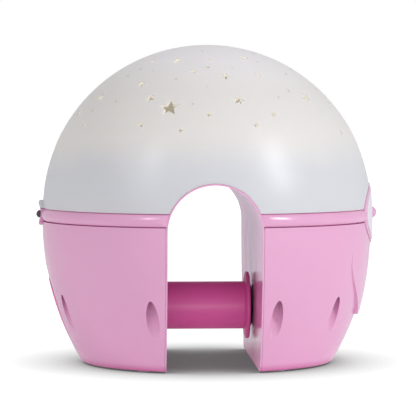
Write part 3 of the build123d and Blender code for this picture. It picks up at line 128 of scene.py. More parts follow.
# %% Fine mould grain, as a height for a Bump node
def build_mould_grain():
    tree, given, result = new_group(
        "mould_grain", [("Grain per metre", 1500.0)], [("Height", "NodeSocketFloat")]
    )
    place = tree.nodes.new("ShaderNodeTexCoord").outputs["Object"]
    fine = noise(tree, place, detail=3.0, roughness=0.6)
    tree.links.new(given.outputs["Grain per metre"], fine.inputs["Scale"])
    tree.links.new(fine.outputs["Fac"], result.inputs["Height"])
    return tree


mould_grain = build_mould_grain()


# %% Dull patches from handling, as a roughness
PATCHES_PER_METRE = 55.0


def build_handling():
    tree, given, result = new_group(
        "handling",
        [("Clean roughness", 0.25), ("Handled roughness", 0.35)],
        [("Roughness", "NodeSocketFloat")],
    )
    place = tree.nodes.new("ShaderNodeTexCoord").outputs["Object"]
    patches = noise(tree, place, detail=4.0, roughness=0.55)
    patches.inputs["Scale"].default_value = PATCHES_PER_METRE
    rough = remap(
        tree, patches.outputs["Fac"], 0.35, 0.7,
        given.outputs["Clean roughness"], given.outputs["Handled roughness"],
    )
    tree.links.new(rough, result.inputs["Roughness"])
    return tree


handling = build_handling()
print("shared effects:", mould_grain.name, handling.name)


# %% [markdown]
# ## Finishes
#
# A small function makes each plastic from the two shared effects, because the finishes differ only
# in colour, gloss and grain. Colours are written as the eye sees them (0 to 255) and turned into
# the linear light that the renderer works with. Numbers that are the same all over a piece sit on
# the shader's own sockets. The soft plastics also let a little light in, which Subsurface does.
#
# The pink gets one thing more, painted shade. Light that bounces about in a recess takes on the
# plastic's colour each time, so the screw channels and seams look deeper than the open flanks. An
# Ambient Occlusion node finds the closed-in places and paints a deeper pink there as shade.

# %% Helpers for finishes
def light(red, green, blue):
    """Linear colour from the 0 to 255 values that one would read off a screen."""
    def one(value):
        share = value / 255.0
        return share / 12.92 if share <= 0.04045 else ((share + 0.055) / 1.055) ** 2.4

    return (one(red), one(green), one(blue), 1.0)


GRAIN_DEPTH = 0.05 * MM


def new_finish(name):
    """A material with its node tree and its Principled shader."""
    finish = bpy.data.materials.new(name)
    finish.use_nodes = True
    tree = finish.node_tree
    shader = tree.nodes["Principled BSDF"]
    return finish, tree, shader


def add_grain(tree, shader, per_metre, strength):
    group = tree.nodes.new("ShaderNodeGroup")
    group.node_tree = mould_grain
    group.inputs["Grain per metre"].default_value = per_metre
    bump = tree.nodes.new("ShaderNodeBump")
    bump.inputs["Strength"].default_value = strength
    bump.inputs["Distance"].default_value = GRAIN_DEPTH
    tree.links.new(group.outputs["Height"], bump.inputs["Height"])
    tree.links.new(bump.outputs["Normal"], shader.inputs["Normal"])


def add_handling(tree, shader, clean, handled):
    group = tree.nodes.new("ShaderNodeGroup")
    group.node_tree = handling
    group.inputs["Clean roughness"].default_value = clean
    group.inputs["Handled roughness"].default_value = handled
    tree.links.new(group.outputs["Roughness"], shader.inputs["Roughness"])


CLOUDS_PER_METRE = 30.0


def cloudy_colour(tree, shader, main, shade):
    """Base colour that drifts a little between two close shades."""
    place = tree.nodes.new("ShaderNodeTexCoord").outputs["Object"]
    drift = noise(tree, place, detail=2.0)
    drift.inputs["Scale"].default_value = CLOUDS_PER_METRE
    mix = tree.nodes.new("ShaderNodeMix")
    mix.data_type = "RGBA"
    mix.inputs["A"].default_value = main
    mix.inputs["B"].default_value = shade
    tree.links.new(drift.outputs["Fac"], mix.inputs["Factor"])
    tree.links.new(mix.outputs["Result"], shader.inputs["Base Color"])


RECESS_REACH = 5.0 * MM


def paint_recess_shade(finish, painted_shade):
    """Painted shade: mix a deeper shade into the base colour where the surface is closed in."""
    tree = finish.node_tree
    shader = tree.nodes["Principled BSDF"]
    open_view = tree.nodes.new("ShaderNodeAmbientOcclusion")
    open_view.samples = 8
    open_view.inputs["Distance"].default_value = RECESS_REACH
    closed = remap(tree, open_view.outputs["AO"], 0.35, 0.85, 1.0, 0.0)
    mix = tree.nodes.new("ShaderNodeMix")
    mix.data_type = "RGBA"
    tree.links.new(shader.inputs["Base Color"].links[0].from_socket, mix.inputs["A"])
    mix.inputs["B"].default_value = painted_shade
    tree.links.new(closed, mix.inputs["Factor"])
    tree.links.new(mix.outputs["Result"], shader.inputs["Base Color"])


def plastic(name, main, shade, clean, handled, grain=1500.0, bump=0.12, depth=0.0):
    """Moulded plastic. Depth is the share of light that goes into it and comes out again."""
    finish, tree, shader = new_finish(name)
    cloudy_colour(tree, shader, main, shade)
    add_handling(tree, shader, clean, handled)
    add_grain(tree, shader, grain, bump)
    shader.inputs["IOR"].default_value = 1.5
    shader.inputs["Subsurface Weight"].default_value = depth
    shader.inputs["Subsurface Radius"].default_value = (1.0, 0.6, 0.8)
    shader.inputs["Subsurface Scale"].default_value = 1.0 * MM
    return finish


# %% The pink, magenta and small plastics
finishes = {}
finishes["body_pink"] = plastic(
    "body_pink", light(225, 167, 203), light(223, 165, 201), 0.14, 0.2,
    grain=1300.0, bump=0.01, depth=0.15,
)
# painted shade: a deeper pink where the pink pieces are closed in, as in screw channels and seams
paint_recess_shade(finishes["body_pink"], light(206, 112, 168))
finishes["clamp_magenta"] = plastic(
    "clamp_magenta", light(238, 110, 184), light(235, 107, 181), 0.36, 0.42,
    bump=0.02, depth=0.1,
)
finishes["pale_plate"] = plastic(
    "pale_plate", light(230, 223, 235), light(225, 218, 231), 0.16, 0.24, bump=0.03
)
finishes["knob_grey"] = plastic(
    "knob_grey", light(96, 84, 98), light(82, 72, 84), 0.5, 0.6, bump=0.3
)
finishes["guide_grey"] = plastic(
    "guide_grey", light(205, 205, 210), light(196, 196, 202), 0.4, 0.5, bump=0.2
)
finishes["switch_black"] = plastic(
    "switch_black", light(40, 40, 42), light(30, 30, 33), 0.45, 0.55, bump=0.2
)
finishes["speaker_black"] = plastic(
    "speaker_black", light(52, 50, 54), light(40, 39, 42), 0.7, 0.8, grain=3200.0, bump=0.6
)
finishes["cell_wrap"] = plastic(
    "cell_wrap", light(120, 124, 132), light(112, 116, 124), 0.3, 0.38, bump=0.05
)
finishes["reflector_white"] = plastic(
    "reflector_white", light(246, 238, 222), light(242, 232, 214), 0.35, 0.45, bump=0.1
)
print("plastics:", len(finishes))


# %% [markdown]
# Rubber is rough, nearly black on the pad and pale grey on the feet. Steel and nickel are metals
# with fine machining marks, so their grain is drawn out along one axis with a Mapping node. The
# circuit boards are green lacquer over copper, with faint tracks.

# %% Rubber, metals and boards
def rubber(name, main, shade):
    finish = plastic(name, main, shade, 0.72, 0.85, grain=2600.0, bump=0.5)
    finish.node_tree.nodes["Principled BSDF"].inputs["Specular IOR Level"].default_value = 0.35
    return finish


MARKS_PER_METRE = (90.0, 1600.0, 1600.0)


def metal(name, main, smooth, marks):
    """Bare metal whose roughness runs between two values in marks drawn out along X."""
    finish, tree, shader = new_finish(name)
    shader.inputs["Base Color"].default_value = main
    shader.inputs["Metallic"].default_value = 1.0
    place = tree.nodes.new("ShaderNodeTexCoord").outputs["Object"]
    stretch = tree.nodes.new("ShaderNodeMapping")
    stretch.inputs["Scale"].default_value = MARKS_PER_METRE
    tree.links.new(place, stretch.inputs["Vector"])
    brushed = noise(tree, stretch.outputs["Vector"], detail=3.0, roughness=0.6)
    brushed.inputs["Scale"].default_value = 1.0
    rough = remap(tree, brushed.outputs["Fac"], 0.3, 0.7, smooth, marks)
    tree.links.new(rough, shader.inputs["Roughness"])
    return finish


TRACKS_PER_METRE = 190.0
TRACK_WIDTH = 0.06


def circuit_board(name):
    """Green lacquer with a faint grid of copper tracks under it."""
    finish, tree, shader = new_finish(name)
    place = tree.nodes.new("ShaderNodeTexCoord").outputs["Object"]
    tracks = tree.nodes.new("ShaderNodeTexBrick")
    tracks.inputs["Scale"].default_value = TRACKS_PER_METRE
    tracks.inputs["Mortar Size"].default_value = TRACK_WIDTH
    tracks.inputs["Color1"].default_value = light(34, 98, 60)
    tracks.inputs["Color2"].default_value = light(30, 90, 54)
    tracks.inputs["Mortar"].default_value = light(58, 130, 78)
    tree.links.new(place, tracks.inputs["Vector"])
    tree.links.new(tracks.outputs["Color"], shader.inputs["Base Color"])
    add_handling(tree, shader, 0.3, 0.4)
    return finish


finishes["pad_black"] = rubber("pad_black", light(26, 24, 26), light(20, 18, 20))
finishes["foot_rubber"] = rubber("foot_rubber", light(196, 186, 194), light(186, 176, 184))
finishes["steel"] = metal("steel", light(206, 206, 210), 0.22, 0.38)
finishes["nickel"] = metal("nickel", light(216, 212, 202), 0.14, 0.26)
finishes["circuit_green"] = circuit_board("circuit_green")

# %% Clear lamps
lamp, lamp_tree, lamp_shader = new_finish("lamp_clear")
lamp_shader.inputs["Base Color"].default_value = light(250, 246, 232)
lamp_shader.inputs["Transmission Weight"].default_value = 0.85
lamp_shader.inputs["IOR"].default_value = 1.5
lamp_shader.inputs["Metallic"].default_value = 0.0
add_handling(lamp_tree, lamp_shader, 0.05, 0.12)
finishes["lamp_clear"] = lamp
print("finishes:", len(finishes))

# %% [markdown]
# ## The dome's plastic
#
# The dome is moulded in a milky plastic two millimetres thick. Light goes into it, spreads and
# comes out again, which is what Subsurface does in the Principled shader. Daylight also reaches the
# inside, where a cream reflector tray lies across the ball. Above the tray the wall is lit from
# behind and looks warm, and it is palest at the top. Below the tray it is dim and cool. That light
# and shade is painted: a colour ramp over the height puts it into the base colour, and a slight
# unevenness keeps it from looking drawn.
#
# The walls of the star holes and the lining are the same plastic, but they are painted a paler
# cream and glow a little, as painted light for the light that the whole dome passes on to them.
# They are told apart by their distance from the middle of the ball: a hole's wall lies anywhere in
# the thickness, the lining at its full depth.

# %% Where the dome's wall starts, and how much painted glow its holes and lining get
SKIN_DEPTH = 0.2 * MM
WALL_DEPTH = 0.6 * MM
LINING_NEARS = 1.8 * MM
LINING_STARTS = 1.97 * MM
LINING_GLOW = 0.14
HOLE_GLOW = 0.22
COOL_BELOW = TRAY_Z - 6.0 * MM
UNEVEN_BY = 3.0 * MM
UNEVEN_PER_METRE = 22.0


# %% The shares of height and depth in the dome
def dome_height_share(tree, place):
    """Where the painted light and shade stands: 0 just below the tray and 1 at the top, with a slightly
    uneven course.
    """
    parts = tree.nodes.new("ShaderNodeSeparateXYZ")
    tree.links.new(place, parts.inputs["Vector"])
    wander = noise(tree, place, detail=2.0)
    wander.inputs["Scale"].default_value = UNEVEN_PER_METRE
    shift = remap(tree, wander.outputs["Fac"], 0.3, 0.7, -UNEVEN_BY, UNEVEN_BY)
    height = tree.nodes.new("ShaderNodeMath")
    tree.links.new(parts.outputs["Z"], height.inputs[0])
    tree.links.new(shift, height.inputs[1])
    return remap(tree, height.outputs["Value"], COOL_BELOW, BALL_TOP_Z, 0.0, 1.0)


def dome_depth(tree, place):
    """A mask of everything below the outer face, and the painted glow at each depth."""
    reach = tree.nodes.new("ShaderNodeVectorMath")
    reach.operation = "DISTANCE"
    reach.inputs[1].default_value = BALL_CENTRE
    tree.links.new(place, reach.inputs[0])
    distance = reach.outputs["Value"]
    inside = remap(tree, distance, BALL_R - SKIN_DEPTH, BALL_R - WALL_DEPTH, 0.0, 1.0)
    glow = remap(
        tree, distance, BALL_R - LINING_NEARS, BALL_R - LINING_STARTS, HOLE_GLOW, LINING_GLOW
    )
    return inside, glow


# %% Milky dome
def dome_plastic():
    finish, tree, shader = new_finish("dome_white")
    place = tree.nodes.new("ShaderNodeTexCoord").outputs["Object"]
    # painted light and shade: the ramp makes the wall dim and cool below the tray, warm above it and
    # palest at the top
    painted_dome_light = tree.nodes.new("ShaderNodeValToRGB")
    ramp = painted_dome_light.color_ramp
    ramp.interpolation = "EASE"
    ramp.elements[0].color = light(208, 209, 214)
    ramp.elements[1].color = light(233, 229, 233)
    ramp.elements.new(0.32).color = light(222, 219, 217)
    ramp.elements.new(0.6).color = light(222, 219, 217)
    tree.links.new(dome_height_share(tree, place), painted_dome_light.inputs["Fac"])
    inside, wall_glow = dome_depth(tree, place)
    # painted light: a paler cream and a glow by emission on the hole walls and the lining
    mix = tree.nodes.new("ShaderNodeMix")
    mix.data_type = "RGBA"
    mix.inputs["B"].default_value = light(244, 240, 230)
    tree.links.new(inside, mix.inputs["Factor"])
    tree.links.new(painted_dome_light.outputs["Color"], mix.inputs["A"])
    tree.links.new(mix.outputs["Result"], shader.inputs["Base Color"])
    glow = tree.nodes.new("ShaderNodeMath")
    glow.operation = "MULTIPLY"
    tree.links.new(inside, glow.inputs[0])
    tree.links.new(wall_glow, glow.inputs[1])
    tree.links.new(glow.outputs["Value"], shader.inputs["Emission Strength"])
    shader.inputs["Emission Color"].default_value = light(242, 237, 226)
    shader.inputs["Subsurface Weight"].default_value = 0.4
    shader.inputs["Subsurface Radius"].default_value = (1.0, 0.9, 0.8)
    shader.inputs["Subsurface Scale"].default_value = 3.0 * MM
    shader.inputs["IOR"].default_value = 1.48
    add_handling(tree, shader, 0.32, 0.38)
    add_grain(tree, shader, 1100.0, 0.03)
    return finish


finishes["dome_white"] = dome_plastic()
print("dome glow in the holes:", HOLE_GLOW, "and on the lining:", LINING_GLOW)

# %% [markdown]
# ## Skins for the rigid pieces
#
# The construction model arrives as loose flat triangles, which would show as facets in a glossy
# surface. Each piece is therefore copied, its doubled points are merged, and edges are marked sharp
# only where two faces really meet at an angle. The ball and the legs' flanks are exact turned
# surfaces, so their normals can be worked out instead of averaged, and reflections run over them
# without a ripple.
#
# The legs' upper edge is also lifted a little towards the band, so that only a fine line parts
# the mouldings, as on a well-fitted product.

# %% Tolerances for merging, sharp edges and exact normals
MERGE_WITHIN = 0.002 * MM
SHARP_FROM = math.radians(28.0)
ON_SURFACE_WITHIN = 0.06 * MM
FACING_FROM = 0.93
LEG_TOP = 70.5 * MM
LEG_TOP_R = 80.8 * MM
SEAM_LIFT = 0.2 * MM


# %% Copying a piece and smoothing it
def merged_copy(node):
    mesh = frame["nodes"][node].data.copy()
    mesh.name = f"{node}_skin"
    work = bmesh.new()
    work.from_mesh(mesh)
    bmesh.ops.remove_doubles(work, verts=work.verts, dist=MERGE_WITHIN)
    for face in work.faces:
        face.smooth = True
    for edge in work.edges:
        edge.smooth = len(edge.link_faces) == 2 and edge.calc_face_angle(0.0) < SHARP_FROM
    work.to_mesh(mesh)
    work.free()
    return mesh


# %% Normals of the turned surfaces
def turned_normals(points, faces):
    """Exact normals for corners that lie on the ball or on a flank, and a mask of those corners."""
    found = np.zeros(len(points), bool)
    normals = np.zeros_like(points)
    from_centre = points - np.array(BALL_CENTRE)
    distance = np.linalg.norm(from_centre, axis=1)
    ball = from_centre / distance[:, None]
    reach = np.hypot(points[:, 0], points[:, 1])
    across = reach - FLANK_ARC_MIDDLE
    drop = points[:, 2] - BELT_Z
    arc = np.hypot(across, drop)
    sideways = points[:, :2] / reach[:, None] * across[:, None]
    flank = np.column_stack([sideways, drop]) / arc[:, None]
    surfaces = [(ball, distance, BALL_R, BALL_WALL), (flank, arc, FLANK_ARC_R, LEG_WALL)]
    for direction, measured, radius, wall in surfaces:
        for size in (radius, radius - wall):
            facing = (direction * faces).sum(axis=1)
            near = np.abs(measured - size) < ON_SURFACE_WITHIN
            hit = near & (np.abs(facing) > FACING_FROM) & ~found
            normals[hit] = direction[hit] * np.sign(facing[hit])[:, None]
            found |= hit
    return normals, found


def set_exact_normals(mesh):
    """Give the corners on turned surfaces their exact normals and return how many they are."""
    count = len(mesh.loops)
    corner_vertex = np.zeros(count, np.int32)
    mesh.loops.foreach_get("vertex_index", corner_vertex)
    places = np.zeros(len(mesh.vertices) * 3)
    mesh.vertices.foreach_get("co", places)
    points = places.reshape(-1, 3)[corner_vertex]
    face_normals = np.zeros(len(mesh.polygons) * 3)
    mesh.polygons.foreach_get("normal", face_normals)
    sizes = np.zeros(len(mesh.polygons), np.int32)
    mesh.polygons.foreach_get("loop_total", sizes)
    faces = np.repeat(face_normals.reshape(-1, 3), sizes, axis=0)
    exact, found = turned_normals(points, faces)
    current = np.zeros(count * 3)
    mesh.corner_normals.foreach_get("vector", current)
    normals = current.reshape(-1, 3)
    normals[found] = exact[found]
    mesh.normals_split_custom_set(normals.tolist())
    return int(found.sum())


# %% One skin
def narrow_seam(mesh):
    """Lift the outer top edge of a leg towards the band and return how many points moved."""
    lifted = 0
    for vertex in mesh.vertices:
        at_top = vertex.co.z > LEG_TOP - MERGE_WITHIN
        if at_top and math.hypot(vertex.co.x, vertex.co.y) > LEG_TOP_R:
            vertex.co.z = LEG_TOP + SEAM_LIFT
            lifted += 1
    return lifted


def skin(node):
    mesh = merged_copy(node)
    if node in leg_nodes:
        print(node, "edge points lifted:", narrow_seam(mesh))
    if node in turned_nodes:
        print(node, "corners with exact normals:", set_exact_normals(mesh))
    piece = bpy.data.objects.new(f"{node}_skin", mesh)
    bpy.context.scene.collection.objects.link(piece)
    mesh.materials.clear()
    mesh.materials.append(finishes[slot_of_node[node]])
    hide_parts(node)
    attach(piece, body_of_node[node])


# %% Skins for everything except what later steps rebuild
rebuilt = {"clamp_spring"}
leg_nodes = {"rear_leg_shell", "front_leg_shell"}
turned_nodes = leg_nodes | {"star_dome", "pull_grip", "saddle_frame"}
for node in sorted(slot_of_node):
    if node not in rebuilt:
        skin(node)
print("skins:", len(slot_of_node) - len(rebuilt))

# %% [markdown]
# ## The clamp's spring
#
# A coil spring is round wire on a helix with a steady pitch, which is a rule, so Geometry Nodes make
# it: a Spiral curve gives the path and a circle is swept along it. The sizes are named inputs of the
# tree. Its box is taken from the construction model's spring, so that it sits between the same cap
# and plug.


# %% Helpers for Geometry Nodes
def new_geometry_tree(name, inputs):
    tree = bpy.data.node_groups.new(name, "GeometryNodeTree")
    tree.interface.new_socket("Geometry", in_out="INPUT", socket_type="NodeSocketGeometry")
    for label, kind, default in inputs:
        socket = tree.interface.new_socket(label, in_out="INPUT", socket_type=kind)
        if default is not None:
            socket.default_value = default
    tree.interface.new_socket("Geometry", in_out="OUTPUT", socket_type="NodeSocketGeometry")
    return tree, tree.nodes.new("NodeGroupInput"), tree.nodes.new("NodeGroupOutput")


def finish_tree(tree, given, result, geometry):
    """Every tree ends in real geometry with its material set."""
    real = tree.nodes.new("GeometryNodeRealizeInstances")
    painted = tree.nodes.new("GeometryNodeSetMaterial")
    tree.links.new(geometry, real.inputs["Geometry"])
    tree.links.new(real.outputs["Geometry"], painted.inputs["Geometry"])
    tree.links.new(given.outputs["Material"], painted.inputs["Material"])
    tree.links.new(painted.outputs["Geometry"], result.inputs["Geometry"])


def grow(name, tree, base_mesh, values):
    """Run a tree on a mesh and return a plain object with the result, the modifier gone."""
    base = bpy.data.objects.new(f"{name}_base", base_mesh)
    bpy.context.scene.collection.objects.link(base)
    modifier = base.modifiers.new("grow", "NODES")
    modifier.node_group = tree
    for item in tree.interface.items_tree:
        if item.item_type == "SOCKET" and item.in_out == "INPUT" and item.name in values:
            modifier[item.identifier] = values[item.name]
    graph = bpy.context.evaluated_depsgraph_get()
    mesh = bpy.data.meshes.new_from_object(base.evaluated_get(graph), depsgraph=graph)
    bpy.data.objects.remove(base)
    mesh.name = name
    piece = bpy.data.objects.new(name, mesh)
    bpy.context.scene.collection.objects.link(piece)
    return piece


# %% The spring's tree
POINTS_PER_TURN = 26
POINTS_ROUND_WIRE = 10
WIRE_R = 0.55 * MM
WIRE_INSET = 1.2 * WIRE_R          # the wire's middle, in from the side of the spring's box
SPRING_TURNS = 9.0


def spring_tree():
    tree, given, result = new_geometry_tree("coil_spring", [
        ("Coil Radius", "NodeSocketFloat", 6.4 * MM),
        ("Wire Radius", "NodeSocketFloat", WIRE_R),
        ("Length", "NodeSocketFloat", 70.0 * MM),
        ("Turns", "NodeSocketFloat", SPRING_TURNS),
        ("Material", "NodeSocketMaterial", None),
    ])
    spiral = tree.nodes.new("GeometryNodeCurveSpiral")
    spiral.inputs["Resolution"].default_value = POINTS_PER_TURN
    tree.links.new(given.outputs["Turns"], spiral.inputs["Rotations"])
    tree.links.new(given.outputs["Coil Radius"], spiral.inputs["Start Radius"])
    tree.links.new(given.outputs["Coil Radius"], spiral.inputs["End Radius"])
    tree.links.new(given.outputs["Length"], spiral.inputs["Height"])
    wire = tree.nodes.new("GeometryNodeCurvePrimitiveCircle")
    wire.inputs["Resolution"].default_value = POINTS_ROUND_WIRE
    tree.links.new(given.outputs["Wire Radius"], wire.inputs["Radius"])
    swept = tree.nodes.new("GeometryNodeCurveToMesh")
    swept.inputs["Fill Caps"].default_value = True
    tree.links.new(spiral.outputs["Curve"], swept.inputs["Curve"])
    tree.links.new(wire.outputs["Curve"], swept.inputs["Profile Curve"])
    smooth = tree.nodes.new("GeometryNodeSetShadeSmooth")
    tree.links.new(swept.outputs["Mesh"], smooth.inputs["Geometry"])
    finish_tree(tree, given, result, smooth.outputs["Geometry"])
    return tree


# %% Growing the spring
spring_low, spring_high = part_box("clamp_spring")
spring_length = spring_high.x - spring_low.x
spring = grow("coil_spring", spring_tree(), bpy.data.meshes.new("spring_start"), {
    "Coil Radius": (spring_high.y - spring_low.y) / 2 - WIRE_INSET,
    "Wire Radius": WIRE_R,
    "Length": spring_length - 2 * WIRE_R,
    "Turns": SPRING_TURNS,
    "Material": finishes["steel"],
})
spring_start = Vector((spring_low.x + WIRE_R, 0.0, (spring_low.z + spring_high.z) / 2))
upright_to_x = Matrix.Rotation(math.radians(90), 4, "Y")
spring.data.transform(Matrix.Translation(spring_start) @ upright_to_x)
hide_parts("clamp_spring")
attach(spring, "housing")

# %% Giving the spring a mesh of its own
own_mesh(spring)
print("spring triangles:", sum(len(p.vertices) - 2 for p in spring.data.polygons))

# %% [markdown]
# ## Pin stars
#
# Between the star-shaped holes the dome carries much smaller stars, one to two millimetres across,
# that hardly mark the plastic. They are too small to cut one by one, so Geometry Nodes lay a tiny
# five-pointed plate at each of a set of points: the Star curve is filled and given a little depth,
# and each copy is turned and scaled at random with a fixed seed.

# %% Where the pin stars sit
# azimuth and elevation in degrees of each pin star on one half of the dome
PIN_STARS = (
    (-37, 55), (-58, 43), (-34, 37), (-19, 47), (-49, 46), (-76, 59), (-51, 63),
    (-34, 71), (-93, 48), (-92, 59), (-98, 73), (-99, 40), (-110, 52), (-129, 57),
    (-141, 58), (-146, 54), (-138, 41), (-165, 43), (-151, 37),
)
PIN_ROUNDS = 2          # the other half of the dome has the same ones, half a turn on
PIN_TIP_R = 0.8 * MM
PIN_WAIST_R = 0.35 * MM
PIN_DEPTH = 0.06 * MM
PIN_SEED = 7
PIN_SMALLEST = 0.7
PIN_LARGEST = 1.3


def pin_star_points():
    """Loose points on the ball, each with the direction that its star faces."""
    mesh = bpy.data.meshes.new("pin_star_points")
    places = []
    normals = []
    for turn in range(PIN_ROUNDS):
        for azimuth, elevation in PIN_STARS:
            az = math.radians(azimuth + 360.0 * turn / PIN_ROUNDS)
            el = math.radians(elevation)
            out = Vector((math.cos(el) * math.cos(az), math.cos(el) * math.sin(az), math.sin(el)))
            places.append(BALL_CENTRE + out * BALL_R)
            normals.append(out)
    mesh.from_pydata(places, [], [])
    outward = mesh.attributes.new("outward", "FLOAT_VECTOR", "POINT")
    outward.data.foreach_set("vector", [c for n in normals for c in n])
    return mesh


# %% The parts of the pin stars' tree
def pin_star_plate(tree, given):
    """A filled five-pointed star with a little depth."""
    star = tree.nodes.new("GeometryNodeCurveStar")
    star.inputs["Points"].default_value = 5
    tree.links.new(given.outputs["Waist Radius"], star.inputs["Inner Radius"])
    tree.links.new(given.outputs["Tip Radius"], star.inputs["Outer Radius"])
    plate = tree.nodes.new("GeometryNodeFillCurve")
    tree.links.new(star.outputs["Curve"], plate.inputs["Curve"])
    thick = tree.nodes.new("GeometryNodeExtrudeMesh")
    tree.links.new(plate.outputs["Mesh"], thick.inputs["Mesh"])
    tree.links.new(given.outputs["Depth"], thick.inputs["Offset Scale"])
    return thick.outputs["Mesh"]


def pin_star_rotation(tree, given):
    """Each star faces outwards and is spun about that direction by its own angle."""
    direction = tree.nodes.new("GeometryNodeInputNamedAttribute")
    direction.data_type = "FLOAT_VECTOR"
    direction.inputs["Name"].default_value = "outward"
    aim = tree.nodes.new("FunctionNodeAlignRotationToVector")
    aim.axis = "Z"
    tree.links.new(direction.outputs["Attribute"], aim.inputs["Vector"])
    spin = tree.nodes.new("FunctionNodeRandomValue")
    spin.data_type = "FLOAT_VECTOR"
    spin.inputs["Max"].default_value = (0.0, 0.0, math.tau)
    tree.links.new(given.outputs["Seed"], spin.inputs["Seed"])
    turned = tree.nodes.new("FunctionNodeRotateRotation")
    turned.rotation_space = "LOCAL"
    tree.links.new(aim.outputs["Rotation"], turned.inputs["Rotation"])
    tree.links.new(spin.outputs["Value"], turned.inputs["Rotate By"])
    return turned.outputs["Rotation"]


def pin_star_size(tree, given):
    size = tree.nodes.new("FunctionNodeRandomValue")
    size.data_type = "FLOAT"
    size.inputs[2].default_value = PIN_SMALLEST
    size.inputs[3].default_value = PIN_LARGEST
    tree.links.new(given.outputs["Seed"], size.inputs["Seed"])
    return size.outputs[1]


# %% Growing the pin stars
def pin_star_tree():
    tree, given, result = new_geometry_tree("pin_stars", [
        ("Tip Radius", "NodeSocketFloat", PIN_TIP_R),
        ("Waist Radius", "NodeSocketFloat", PIN_WAIST_R),
        ("Depth", "NodeSocketFloat", PIN_DEPTH),
        ("Seed", "NodeSocketInt", PIN_SEED),
        ("Material", "NodeSocketMaterial", None),
    ])
    copies = tree.nodes.new("GeometryNodeInstanceOnPoints")
    tree.links.new(given.outputs["Geometry"], copies.inputs["Points"])
    tree.links.new(pin_star_plate(tree, given), copies.inputs["Instance"])
    tree.links.new(pin_star_rotation(tree, given), copies.inputs["Rotation"])
    tree.links.new(pin_star_size(tree, given), copies.inputs["Scale"])
    finish_tree(tree, given, result, copies.outputs["Instances"])
    return tree


finishes["pin_beige"] = plastic(
    "pin_beige", light(214, 206, 188), light(202, 194, 176), 0.5, 0.6, bump=0.1
)
pins = grow("pin_stars", pin_star_tree(), pin_star_points(), {
    "Tip Radius": PIN_TIP_R,
    "Waist Radius": PIN_WAIST_R,
    "Depth": PIN_DEPTH,
    "Seed": PIN_SEED,
    "Material": finishes["pin_beige"],
})
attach(pins, "housing")
print("pin stars:", len(PIN_STARS) * PIN_ROUNDS)

# %% [markdown]
# ## Floor, light and camera
#
# The light stands on a plain white sheet that runs out of sight. Two soft lamps and a pale
# surrounding light it evenly, as in a product studio. The camera sees the surrounding as pure
# white, and glossy plastic mirrors it a little brighter than it lights, while the object itself is
# lit at a plain level.
#
# A white sheet that is bright enough to look white would lose the object's shadow, so the camera
# sees a painted shadow on it instead: its brightness is worked out from how much open sky each
# spot has, which an Ambient Occlusion node measures. Everything else is lit by the plain sheet
# under it.


# %% Flat stage pieces
def stage_sheet(name, corners):
    """A single flat face that only sets the stage and isn't part of the object."""
    mesh = bpy.data.meshes.new(name)
    mesh.from_pydata(corners, [], [(0, 1, 2, 3)])
    sheet = bpy.data.objects.new(name, mesh)
    bpy.context.scene.collection.objects.link(sheet)
    return sheet


# %% Floor
FLOOR_HALF = 6.0
FLOOR_WHITE = (0.92, 0.92, 0.92, 1.0)
FLOOR_GLOW = (1.0, 0.97, 0.99, 1.0)
FLOOR_GLOW_STRENGTH = 0.17
SKY_REACH = 0.3
SKY_CLOSED = 0.12
SKY_OPEN = 0.86
SHEET_DARK = 0.08
SHEET_LIGHT = 1.25
SHEET_SHARE = 0.92


def white_floor():
    half = FLOOR_HALF
    floor = stage_sheet("floor", [
        (-half, -half, 0), (half, -half, 0), (half, half, 0), (-half, half, 0)
    ])
    finish, tree, shader = new_finish("floor_white")
    shader.inputs["Base Color"].default_value = FLOOR_WHITE
    shader.inputs["Roughness"].default_value = 0.9
    shader.inputs["Specular IOR Level"].default_value = 0.0
    shader.inputs["Emission Color"].default_value = FLOOR_GLOW
    shader.inputs["Emission Strength"].default_value = FLOOR_GLOW_STRENGTH
    # painted shadow: what the camera sees of the floor is an emission that dims where the sky is closed
    # in
    open_sky = tree.nodes.new("ShaderNodeAmbientOcclusion")
    open_sky.samples = 12
    open_sky.inputs["Distance"].default_value = SKY_REACH
    sheet = tree.nodes.new("ShaderNodeEmission")
    level = remap(tree, open_sky.outputs["AO"], SKY_CLOSED, SKY_OPEN, SHEET_DARK, SHEET_LIGHT)
    tree.links.new(level, sheet.inputs["Strength"])
    path = tree.nodes.new("ShaderNodeLightPath")
    share = remap(tree, path.outputs["Is Camera Ray"], 0.0, 1.0, 0.0, SHEET_SHARE)
    mix = tree.nodes.new("ShaderNodeMixShader")
    tree.links.new(share, mix.inputs["Fac"])
    tree.links.new(shader.outputs["BSDF"], mix.inputs[1])
    tree.links.new(sheet.outputs["Emission"], mix.inputs[2])
    tree.links.new(mix.outputs["Shader"], tree.nodes["Material Output"].inputs["Surface"])
    floor.data.materials.append(finish)


white_floor()
print("floor:", 2 * FLOOR_HALF, "m wide")

# %% [markdown]
# The walls of the slot are glossy and seen almost edge-on, so they show what stands behind the
# slot. In a studio a card is put there. This one shows in glossy reflections, while the camera,
# the shadows and the diffuse light pass through it.

# %% Card behind the slot
CARD_HALF = 60.0 * MM
CARD_Y = 300.0 * MM
CARD_HIGH = 200.0 * MM
CARD_COLOUR = (0.96, 0.9, 1.0, 1.0)
CARD_STRENGTH = 0.76


def white_card():
    wide = CARD_HALF
    card = stage_sheet("card", [
        (-wide, CARD_Y, 0.0), (wide, CARD_Y, 0.0), (wide, CARD_Y, CARD_HIGH), (-wide, CARD_Y, CARD_HIGH)
    ])
    finish, tree, shader = new_finish("card_white")
    shader.inputs["Emission Color"].default_value = CARD_COLOUR
    shader.inputs["Emission Strength"].default_value = CARD_STRENGTH
    shader.inputs["Base Color"].default_value = (0.0, 0.0, 0.0, 1.0)
    shader.inputs["Specular IOR Level"].default_value = 0.0
    card.data.materials.append(finish)
    card.visible_camera = False
    card.visible_diffuse = False
    card.visible_shadow = False


